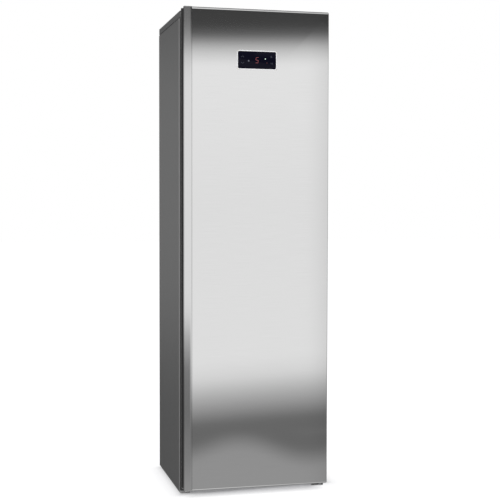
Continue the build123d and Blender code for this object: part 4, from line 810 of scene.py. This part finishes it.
# %% Width of the soft edge in millimetres, and the nodes that get it
SOFT_EDGES = {
    0.0: ["cabinet_foam", "door_foam"],
    0.15: ["side_panel_left", "side_panel_right", "base_front_rail", "top_sheet", "base_pan",
           "back_panel", "fan_rotor", "evaporator_plate"],
    0.25: ["compressor_rail", "hinge_pins", "roller_axles", "condenser_clips", "drain_tube",
           "display_board"],
    0.4: ["grip_end_caps", "inner_liner", "door_liner", "dairy_box", "dairy_lid", "door_bin_1",
          "door_bin_2", "door_bin_3", "bottle_bin", "bottle_stop", "crisper_left",
          "crisper_right", "upper_hinge_bracket", "lower_hinge_bracket", "hinge_bushes",
          "evaporation_tray", "fan_cover", "shelf_trims", "fan_motor", "terminal_box",
          "crisper_cover_glass", "shelf_glass_1", "shelf_glass_2", "shelf_glass_3",
          "shelf_glass_4"],
    0.8: ["top_cover", "door_top_cap", "door_bottom_cap", "compressor", "filter_dryer",
          "compressor_grommets", "rear_roller_left", "rear_roller_right",
          "levelling_foot_left", "levelling_foot_right", "ceiling_lamp_cover"],
}
for width, names in SOFT_EDGES.items():
    faces = sum(len(soft_copy(name, width).data.polygons) for name in names)
    print("edges of", width, "mm on", len(names), "pieces:", faces, "faces")

# %% Door skin with a wider window
skin = soft_copy("door_skin", 0.0)
DISPLAY_X, DISPLAY_Z, RIM_WIDTH = -2.0, 1747.5, 3.6
WINDOW_HALF, GLASS_HALF = (76, 31.5), (78.6, 34.6)
SKIN_INSIDE, SKIN_BACK = -0.299, -0.297
choose(skin, "VERT", lambda vertex: abs(vertex.co.x / MM - DISPLAY_X) < WINDOW_HALF[0] + 1
       and abs(vertex.co.z / MM - DISPLAY_Z) < WINDOW_HALF[1] + 1
       and vertex.co.y < SKIN_BACK)
bpy.ops.transform.resize(value=((GLASS_HALF[0] + RIM_WIDTH) / WINDOW_HALF[0], 1,
                                (GLASS_HALF[1] + RIM_WIDTH) / WINDOW_HALF[1]),
                         center_override=(DISPLAY_X * MM, SKIN_INSIDE, DISPLAY_Z * MM))
leave_edit()
print("door skin:", len(skin.data.polygons), "faces, window widened for the rim")

# %% [markdown]
# The grip is two things in one section: a crowned strip of brushed aluminium in front, and a
# carrier behind it that forms the finger recess, coloured near black as painted shade of the
# recess and of the grip's side. Both are made as a real section is: a path in plan, drawn as a
# curve, drawn out over the height of the door, given a wall.
# The strip bulges by less than a millimetre, but polished metal shows such a crown at once.

# %% Sections drawn along the height
def drawn_section(name, path, low, high, wall):
    """A sheet whose outer face follows a path in plan, from one height to another."""
    clear_selection()
    bpy.ops.curve.primitive_bezier_curve_add()
    section = bpy.context.object
    section.data.dimensions = "2D"
    section.data.fill_mode = "NONE"
    line = section.data.splines[0].bezier_points
    line.add(len(path) - 2)
    for point, (x, y) in zip(line, path):
        point.handle_left_type = point.handle_right_type = "FREE"
        point.co = point.handle_left = point.handle_right = (x * MM, y * MM, 0)
    section.data.splines[0].resolution_u = 1
    section.data.resolution_u = 1
    section.data.extrude = (high - low) / 2 * MM
    section.location = (0, 0, (low + high) / 2 * MM)
    bpy.ops.object.convert(target="MESH")
    section = settle(bpy.context.object, name)
    edit_whole(section)
    bpy.ops.mesh.remove_doubles(threshold=0.001 * MM)
    bpy.ops.mesh.normals_make_consistent(inside=False)
    leave_edit()
    modify(section, "SOLIDIFY", thickness=wall * MM, offset=-1)
    smooth(30)
    return section


def arc(centre, radius, start, end, steps):
    """Points on an arc in plan, from one heading to another in degrees."""
    turns = [math.radians(start + (end - start) * step / steps) for step in range(steps + 1)]
    return [(centre[0] + radius * math.cos(turn), centre[1] + radius * math.sin(turn))
            for turn in turns]


# %% Grip strip
SEAM_X, GRIP_LEFT, FRONT_Y = -266.0, -297.5, -300.0
GRIP_LOW, GRIP_HIGH = 32.1, 1947.9
CROWN, CROWN_STEPS, CROWN_STEP = 0.0009, 13, 2.25
EDGE_RADIUS, LIP_RADIUS, STRIP_WALL = 3.6, 0.6, 1.2

crown_start = 0.5
across = [crown_start + step * CROWN_STEP for step in range(CROWN_STEPS)]
front = [(SEAM_X - run, FRONT_Y + CROWN * run ** 2) for run in across]
corner_y = front[-1][1] + EDGE_RADIUS
strip_path = ([(SEAM_X, -298.3)]
              + arc((SEAM_X - crown_start, FRONT_Y + 0.5), 0.5, 0, -90, 3)[:-1] + front
              + arc((GRIP_LEFT + EDGE_RADIUS, corner_y), EDGE_RADIUS, -94, -180, 9)
              + arc((GRIP_LEFT + LIP_RADIUS, -284.6), LIP_RADIUS, -180, -270, 3))
strip = drawn_section("grip_strip", strip_path, GRIP_LOW, GRIP_HIGH, STRIP_WALL)
dress(strip, grip_metal, "door", "grip_aluminium", "grip_profile")
print("grip strip:", len(strip_path), "points in plan")

# %% Grip carrier with its finger recess
RECESS_X, RECESS_RADIUS, CARRIER_WALL = -274.5, 4, 1.8

inner_x, outer_x = RECESS_X - RECESS_RADIUS, GRIP_LEFT + RECESS_RADIUS
carrier_path = ([(-265.55, -299.1), (-266.4, -299.1), (-267.5, -297.2), (-295.0, -297.0),
                 (-296.0, -296.0), (-296.0, -284.0)]
                + arc((inner_x, -280.0), RECESS_RADIUS, -90, 0, 6)
                + arc((inner_x, -254.0), RECESS_RADIUS, 0, 90, 6)
                + arc((outer_x, -246.0), RECESS_RADIUS, -90, -180, 6)
                + arc((outer_x, -232.6), RECESS_RADIUS, -180, -270, 6)
                + [(SEAM_X - 0.2, -228.6)])
carrier = drawn_section("grip_carrier", carrier_path, GRIP_LOW, GRIP_HIGH, CARRIER_WALL)
# The carrier is coloured as painted shade of the finger recess and the grip's side.
dress(carrier, grip_painted_shade, "door", "grip_aluminium")
for piece in (strip, carrier):
    x, y = ([corner[axis] / MM for corner in piece.bound_box] for axis in range(2))
    print(piece.name, "x", round(min(x), 2), round(max(x), 2),
          "y", round(min(y), 2), round(max(y), 2))

# %% [markdown]
# The display is a pane of black glass in a narrow rim, coloured near white as a painted
# highlight on the steel edge round the window. Behind the glass glow a red digit, two arrows
# and a few small signs. The digit is made like a real seven-segment display, of bars with
# pointed ends at five of the seven places. A black pane would hide them, so all signs lie a
# tenth of a millimetre in front of it.

# %% Tools for small flat pieces
def slab(name, x, y, z):
    """A block between two values along each axis, in millimetres."""
    clear_selection()
    bpy.ops.mesh.primitive_cube_add(size=1)
    piece = bpy.context.object
    piece.location = [MM * (low + high) / 2 for low, high in (x, y, z)]
    piece.scale = [MM * (high - low) for low, high in (x, y, z)]
    return settle(piece, name)


def bevel_along(piece, axis, width, segments):
    """Bevels the edges that run along one axis."""
    spots = piece.data.vertices

    def runs_along(edge):
        run = spots[edge.vertices[1]].co - spots[edge.vertices[0]].co
        return abs(run[axis]) > 0.99 * run.length

    choose(piece, "EDGE", runs_along)
    bpy.ops.mesh.bevel(offset=width * MM, segments=segments, affect="EDGES")
    leave_edit()


def soften(piece, width, segments=2, angle=40):
    """Rounds every sharp edge of a piece a little, as moulding and pressing leave it."""
    modify(piece, "BEVEL", width=width * MM, segments=segments, limit_method="ANGLE",
           angle_limit=math.radians(angle))
    smooth(35)


def turned(piece, degrees, centre, axis="Y"):
    """Turns a piece about an axis through a point in millimetres."""
    turn = Matrix.Rotation(math.radians(degrees), 4, axis)
    place = Matrix.Translation(Vector(centre) * MM)
    pick(piece)
    piece.matrix_world = place @ turn @ place.inverted() @ piece.matrix_world
    return settle(piece, piece.name)


def joined(pieces, name):
    pick(*pieces)
    bpy.ops.object.join()
    piece = bpy.context.object
    piece.name = piece.data.name = name
    return piece


# %% Display glass and rim
GLASS_FRONT, GLASS_BACK, RIM_BACK = -299.6, -297.5, -299.2
GLASS_CORNER, GAP = 5.7, 0.1
half_width, half_height = (half - GAP for half in GLASS_HALF)

pane = slab("display_pane", (DISPLAY_X - half_width, DISPLAY_X + half_width),
            (GLASS_FRONT, GLASS_BACK), (DISPLAY_Z - half_height, DISPLAY_Z + half_height))
bevel_along(pane, 1, GLASS_CORNER, 8)
soften(pane, 0.25, 2, 60)
dress(pane, display_black, "door", "display_glass", "display_window")

rim_width, rim_height = half_width + RIM_WIDTH, half_height + RIM_WIDTH
rim = slab("display_rim", (DISPLAY_X - rim_width, DISPLAY_X + rim_width),
           (FRONT_Y, RIM_BACK), (DISPLAY_Z - rim_height, DISPLAY_Z + rim_height))
bevel_along(rim, 1, GLASS_CORNER + RIM_WIDTH, 10)
choose(rim, "FACE", lambda face: abs(face.normal.y) > 0.9)
bpy.ops.mesh.inset(thickness=RIM_WIDTH * MM)
bpy.ops.mesh.bridge_edge_loops()
leave_edit()
soften(rim, 0.2, 2, 60)
# The rim's near-white finish is a painted highlight on the steel edge.
dress(rim, rim_painted_highlight, "door", "stainless_door")
print("display pane and rim:", len(pane.data.polygons) + len(rim.data.polygons), "faces")

# %% Digit of the display
INK = (GLASS_FRONT - 0.12, GLASS_FRONT - 0.04)


def ink_bar(x, z, length, width, angle=0.0):
    """A flat bar with pointed ends, turned in the plane of the door."""
    bar = slab("ink", (x - length / 2, x + length / 2), INK, (z - width / 2, z + width / 2))
    bevel_along(bar, 1, 0.45 * width, 1)
    return turned(bar, angle, (x, 0, z)) if angle else bar


DIGIT_X, DIGIT_WIDTH, DIGIT_HEIGHT, STROKE, LEAN = -1.9, 10.0, 21.5, 1.9, 0.14
half_digit = DIGIT_HEIGHT / 2
segments = [ink_bar(DIGIT_X + LEAN * z, DISPLAY_Z + z, DIGIT_WIDTH, STROKE)
            for z in (half_digit, 0, -half_digit)]
for side, z in ((-1, half_digit / 2), (1, -half_digit / 2)):
    segments.append(ink_bar(DIGIT_X + side * DIGIT_WIDTH / 2 + LEAN * z, DISPLAY_Z + z,
                            half_digit, STROKE, 90 + math.degrees(math.atan(LEAN))))
dress(joined(segments, "display_digit"), red_glow, "door", "display_glass")
print("digit of", len(segments), "bars")

# %% Arrows, star and bar signs
THIN = 1.3
ARROW_X, ARROW_SPREAD, ARROW_SIZE, ARROW_STROKE, ARROW_ANGLE = -61.4, 2.6, 8.5, 1.5, -42
STAR_X, STAR_Z, STAR_SIZE = 56.6, 1762.1, 9.0
GATE_X, GATE_Z, GATE_SPREAD, GATE_HEIGHT, GATE_WIDTH = 58.3, 1735.6, 3.0, 7.5, 6.0

signs = []
for z, way in ((1760.6, -1), (1735.7, 1)):
    signs += [ink_bar(ARROW_X + side * ARROW_SPREAD, z, ARROW_SIZE, ARROW_STROKE,
                      side * way * ARROW_ANGLE) for side in (-1, 1)]
signs += [ink_bar(STAR_X, STAR_Z, STAR_SIZE, THIN, turn) for turn in (0, 60, 120)]
signs += [ink_bar(GATE_X + side * GATE_SPREAD, GATE_Z, GATE_HEIGHT, THIN, 90)
          for side in (-1, 1)]
signs.append(ink_bar(GATE_X, GATE_Z, GATE_WIDTH, THIN))
dress(joined(signs, "display_signs"), pale_ink, "door", "display_glass")
print("signs of", len(signs), "bars")


# %% Round light windows
def lens(name, x, z, radius, material):
    """A small round light window."""
    clear_selection()
    bpy.ops.mesh.primitive_cylinder_add(
        vertices=20, radius=radius * MM, depth=(INK[1] - INK[0]) * MM,
        location=(x * MM, sum(INK) / 2 * MM, z * MM), rotation=(math.radians(90), 0, 0))
    piece = settle(bpy.context.object, name)
    soften(piece, 0.03, 1)
    return dress(piece, material, "door", "display_glass")


lens("display_lamp_sign", -36.4, 1744.0, 3.2, dim_white)
lens("display_power_light", 32.3, 1753.4, 2.1, green_glow)
lens("display_warning_light", 38.5, 1737.7, 1.8, dim_red)
print("three light windows in place")

# %% [markdown]
# The back of the refrigerator carries the condenser: one long steel tube, bent to and fro,
# with forty-eight thin wires welded across it to shed the heat. In the frame the tube has
# eight sides. Here it is a smooth curve with round bends, swept with a round section.

# %% Smooth tubes
ROUND_HANDLE = 0.5523  # share of a corner's side that makes a Bezier bend round


def round_tube(name, corners, radius, bend):
    """A tube along straight runs, with a round bend at each inner corner (millimetres)."""
    spots = [Vector(corner) * MM for corner in corners]
    bend *= MM
    clear_selection()
    bpy.ops.curve.primitive_bezier_curve_add()
    tube = bpy.context.object
    tube.location = (0, 0, 0)
    line = tube.data.splines[0].bezier_points
    line.add(2 * len(spots) - 4)
    stops = [(spots[0], None)]
    for before, corner, after in zip(spots, spots[1:], spots[2:]):
        stops.append((corner + (before - corner).normalized() * bend, corner))
        stops.append((corner + (after - corner).normalized() * bend, corner))
    stops.append((spots[-1], None))
    for point, (stop, corner) in zip(line, stops):
        point.handle_left_type = point.handle_right_type = "FREE"
        point.co = point.handle_left = point.handle_right = stop
    for index in range(1, len(stops) - 1, 2):
        corner = stops[index][1]
        line[index].handle_right = line[index].co.lerp(corner, ROUND_HANDLE)
        line[index + 1].handle_left = line[index + 1].co.lerp(corner, ROUND_HANDLE)
    tube.data.dimensions = "3D"
    tube.data.resolution_u = 8
    tube.data.bevel_depth = radius * MM
    tube.data.bevel_resolution = 3
    tube.data.use_fill_caps = True
    bpy.ops.object.convert(target="MESH")
    smooth(50)
    return settle(bpy.context.object, name)


# %% Condenser tube
TUBE_Y, TUBE_RADIUS, TUBE_BEND = 280.0, 2.4, 32.0
CONDENSER_TOP, RUNS, PITCH, HALF_RUN = 1460.0, 17, 66.0, 220.0
RISER_X, NICHE_TOP = -236.0, 235.0

route = [(RISER_X, TUBE_Y, NICHE_TOP), (RISER_X, TUBE_Y, CONDENSER_TOP)]
for run in range(RUNS):
    z = CONDENSER_TOP - run * PITCH
    side = HALF_RUN if run % 2 == 0 else -HALF_RUN
    if run:
        route.append((-side, TUBE_Y, z))
    route.append((side, TUBE_Y, z))
route.append((HALF_RUN, TUBE_Y, NICHE_TOP))
serpentine = round_tube("condenser_serpentine", route, TUBE_RADIUS, TUBE_BEND)
dress(serpentine, black_enamel, "cabinet", "condenser_enamel", "condenser_tube")
print("condenser tube:", RUNS, "runs,", len(serpentine.data.polygons), "faces")

# %% Condenser wires
WIRES_A_SIDE, FIRST_WIRE_X, WIRE_RADIUS = 24, -186.4, 0.8
WIRE_LOW, WIRE_HIGH = 392.0, 1472.0
wire_y = TUBE_Y - TUBE_RADIUS - 0.05 - WIRE_RADIUS

clear_selection()
bpy.ops.mesh.primitive_cylinder_add(
    vertices=8, radius=WIRE_RADIUS * MM, depth=(WIRE_HIGH - WIRE_LOW) * MM,
    location=(FIRST_WIRE_X * MM, wire_y * MM, (WIRE_LOW + WIRE_HIGH) / 2 * MM))
wires = settle(bpy.context.object, "condenser_wire_grid")
spacing = -2 * FIRST_WIRE_X / (WIRES_A_SIDE - 1)
for count, offset in ((WIRES_A_SIDE, (spacing, 0, 0)), (2, (0, 2 * (TUBE_Y - wire_y), 0))):
    modify(wires, "ARRAY", count=count, use_relative_offset=False, use_constant_offset=True,
           constant_offset_displace=Vector(offset) * MM)
smooth(60)
dress(wires, black_enamel, "cabinet", "condenser_enamel", "condenser_wires")
print("condenser wires:", 2 * WIRES_A_SIDE)

# %% Copper pipes
PIPE_BEND, INTO_FOAM, CAPILLARY_RADIUS = 14.0, 14.0, 1.2
DISCHARGE_Y, DISCHARGE_Z, SUCTION_X, SUCTION_Y, SUCTION_Z = 205.0, 149.2, -110.0, 190.0, 115.6
CAPILLARY_Y, CAPILLARY_Z, DRYER_FOOT = 225.0, 112.9, 142.8

discharge = round_tube("discharge_pipe", [
    (-15.1, DISCHARGE_Y, DISCHARGE_Z), (-60.1, DISCHARGE_Y, DISCHARGE_Z),
    (-60.1, TUBE_Y, DISCHARGE_Z), (RISER_X, TUBE_Y, DISCHARGE_Z),
    (RISER_X, TUBE_Y, NICHE_TOP - 0.1)], TUBE_RADIUS, PIPE_BEND)
suction = round_tube("suction_pipe", [
    (-14.0, SUCTION_Y, SUCTION_Z), (SUCTION_X, SUCTION_Y, SUCTION_Z),
    (SUCTION_X, SUCTION_Y, NICHE_TOP + INTO_FOAM)], TUBE_RADIUS, PIPE_BEND)
capillary = round_tube("capillary_pipe", [
    (HALF_RUN, TUBE_Y, DRYER_FOOT), (HALF_RUN, TUBE_Y, CAPILLARY_Z),
    (HALF_RUN, CAPILLARY_Y, CAPILLARY_Z),
    (HALF_RUN, CAPILLARY_Y, NICHE_TOP + INTO_FOAM)], CAPILLARY_RADIUS, PIPE_BEND)
pipes = joined([discharge, suction, capillary], "cooling_pipes")
dress(pipes, copper, "cabinet", "copper_pipe", "refrigerant_pipes")
print("discharge, suction and capillary pipes")

# %% [markdown]
# The door closes on a magnetic seal: a soft frame with a foot in the door, a folded bellows
# that gives way, and a wide head with a magnet strip inside. Real seals are cut at 45 degrees
# and welded, and a rectangle that is extruded step by step, each time resized to the next
# point of the section, comes out with just such mitred corners.

# %% Magnetic door seal
SEAL_HALF, SEAL_LOW, SEAL_HIGH = 277.4, 76.1, 1898.4
# The section from the foot round the head and back: (how far inwards, y).
SECTION = [(0, -225.9), (0, -221.7), (1.2, -221.0), (4.4, -220.7), (2.4, -219.9), (4.4, -219.1),
           (2.4, -218.4), (4.4, -217.8), (0.5, -217.5), (0, -216.9), (0, -214.9), (0.7, -214.3),
           (17.3, -214.3), (18, -214.9), (18, -216.9), (17.5, -217.5), (13.6, -217.8),
           (15.6, -218.4), (13.6, -219.1), (15.6, -219.9), (13.6, -220.7), (16.8, -221.0),
           (18, -221.7), (18, -225.9), (0, -225.9)]
middle = (SEAL_LOW + SEAL_HIGH) / 2
seal_height = (SEAL_HIGH - SEAL_LOW) / 2

clear_selection()
bpy.ops.mesh.primitive_plane_add(size=2, rotation=(math.radians(90), 0, 0),
                                 location=(0, SECTION[0][1] * MM, middle * MM))
seal = bpy.context.object
seal.scale = (SEAL_HALF * MM, seal_height * MM, 1)
settle(seal, "door_seal")
choose(seal, "FACE", lambda face: True)
bpy.ops.mesh.delete(type="ONLY_FACE")
bpy.ops.mesh.select_mode(type="EDGE")
bpy.ops.mesh.select_all(action="SELECT")
for (inset, y), (next_inset, next_y) in zip(SECTION, SECTION[1:]):
    bpy.ops.mesh.extrude_region_move(TRANSFORM_OT_translate={"value": (0, (next_y - y) * MM, 0)})
    bpy.ops.transform.resize(value=((SEAL_HALF - next_inset) / (SEAL_HALF - inset), 1,
                                    (seal_height - next_inset) / (seal_height - inset)),
                             center_override=(0, next_y * MM, middle * MM))
bpy.ops.mesh.select_all(action="SELECT")
bpy.ops.mesh.remove_doubles(threshold=0.01 * MM)
bpy.ops.mesh.normals_make_consistent(inside=False)
leave_edit()
smooth(25)
dress(seal, seal_rubber, "door", "gasket_rubber", "door_gasket")
print("door seal:", len(seal.data.polygons), "faces")

# %% [markdown]
# Small fasteners tell the eye how large a thing is. The brackets, the back panel, the
# condenser's clips and the terminal cover are held by cross-headed screws. One is modelled: a
# short cylinder, its top rim bevelled to a dome, its underside drawn out into the shank, and
# the cross cut by two bars with a Boolean. The others are copies, each with its own mesh.

# %% One cross-headed screw
HEAD_RADIUS, HEAD_HEIGHT, DOME, SHANK_LENGTH = 5, 2.2, 1.5, 3.8
SHANK_INSET, CROSS_HALF, CROSS_WALL, CROSS_FLOOR = 2.6, 2.6, 0.55, 0.8


def cross_screw():
    clear_selection()
    bpy.ops.mesh.primitive_cylinder_add(
        vertices=24, radius=HEAD_RADIUS * MM, depth=HEAD_HEIGHT * MM,
        location=(0, 0, HEAD_HEIGHT / 2 * MM))
    screw = settle(bpy.context.object, "screw")
    choose(screw, "FACE", lambda face: face.normal.z > 0.9)
    bpy.ops.mesh.bevel(offset=DOME * MM, segments=4, affect="EDGES")
    leave_edit()
    choose(screw, "FACE", lambda face: face.normal.z < -0.9)
    bpy.ops.mesh.inset(thickness=SHANK_INSET * MM)
    bpy.ops.mesh.extrude_region_move(
        TRANSFORM_OT_translate={"value": (0, 0, -SHANK_LENGTH * MM)})
    leave_edit()
    for turn in (0, 90):
        bar = slab("cutter", (-CROSS_HALF, CROSS_HALF), (-CROSS_WALL, CROSS_WALL),
                   (CROSS_FLOOR, 3.0))
        turned(bar, turn, (0, 0, 0), "Z")
        modify(screw, "BOOLEAN", operation="DIFFERENCE", object=bar)
        remove(bar)
    pick(screw)
    smooth(35)
    return screw


def screwed_in(screw, place, tilt, axis, size):
    """A copy of the screw at a place, tilted about an axis, at a share of its size."""
    pick(screw)
    bpy.ops.object.duplicate(linked=False)
    copy = bpy.context.object
    copy.matrix_world = (Matrix.Translation(Vector(place) * MM)
                         @ Matrix.Rotation(math.radians(tilt), 4, axis) @ Matrix.Scale(size, 4))
    return settle(copy, "screw_copy")


# %% Screws of the hinges and of the back
first = cross_screw()
screws = [screwed_in(first, (x, -161.0, 1922.6), 0, "X", 1.0) for x in (258.0, 279.0)]
screws += [screwed_in(first, (x, -218.1, 47.4), 90, "X", 1.0) for x in (267.5, 287.5)]
dress(joined(screws, "hinge_cross_screws"), zinc_plate, "cabinet", "zinc_plated_steel",
      "hinge_screws")

# Each row is a depth, a size, the heights and the places across.
BACK_SCREWS = [(260.0, 0.7, (300, 620, 940, 1260, 1580, 1880), (-286, 286)),
               (260.0, 0.7, (229, 1906), (-200, -55, 55, 200)),
               (284.4, 0.55, (676, 1006, 1336), (-145.9, 145.9))]
screws = [screwed_in(first, (x, y, z), -90, "X", size)
          for y, size, heights, places in BACK_SCREWS for z in heights for x in places]
screws.append(screwed_in(first, (175.0, 200.0, 109.0), 90, "Y", 0.7))
remove(first)
fasteners = dress(joined(screws, "rear_cross_screws"), zinc_plate, "cabinet",
                  "zinc_plated_steel")
print("screws: 4 on the hinges,", len(screws), "at the back,",
      len(fasteners.data.polygons), "faces")

# %% [markdown]
# Last, the picture is shown with the Standard view transform, so that a colour comes out as
# it was written, and the box of the dressed refrigerator is measured. Dressing never changes
# a size.

# %% Finish
bpy.context.scene.view_settings.view_transform = "Standard"
clear_selection()
low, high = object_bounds()
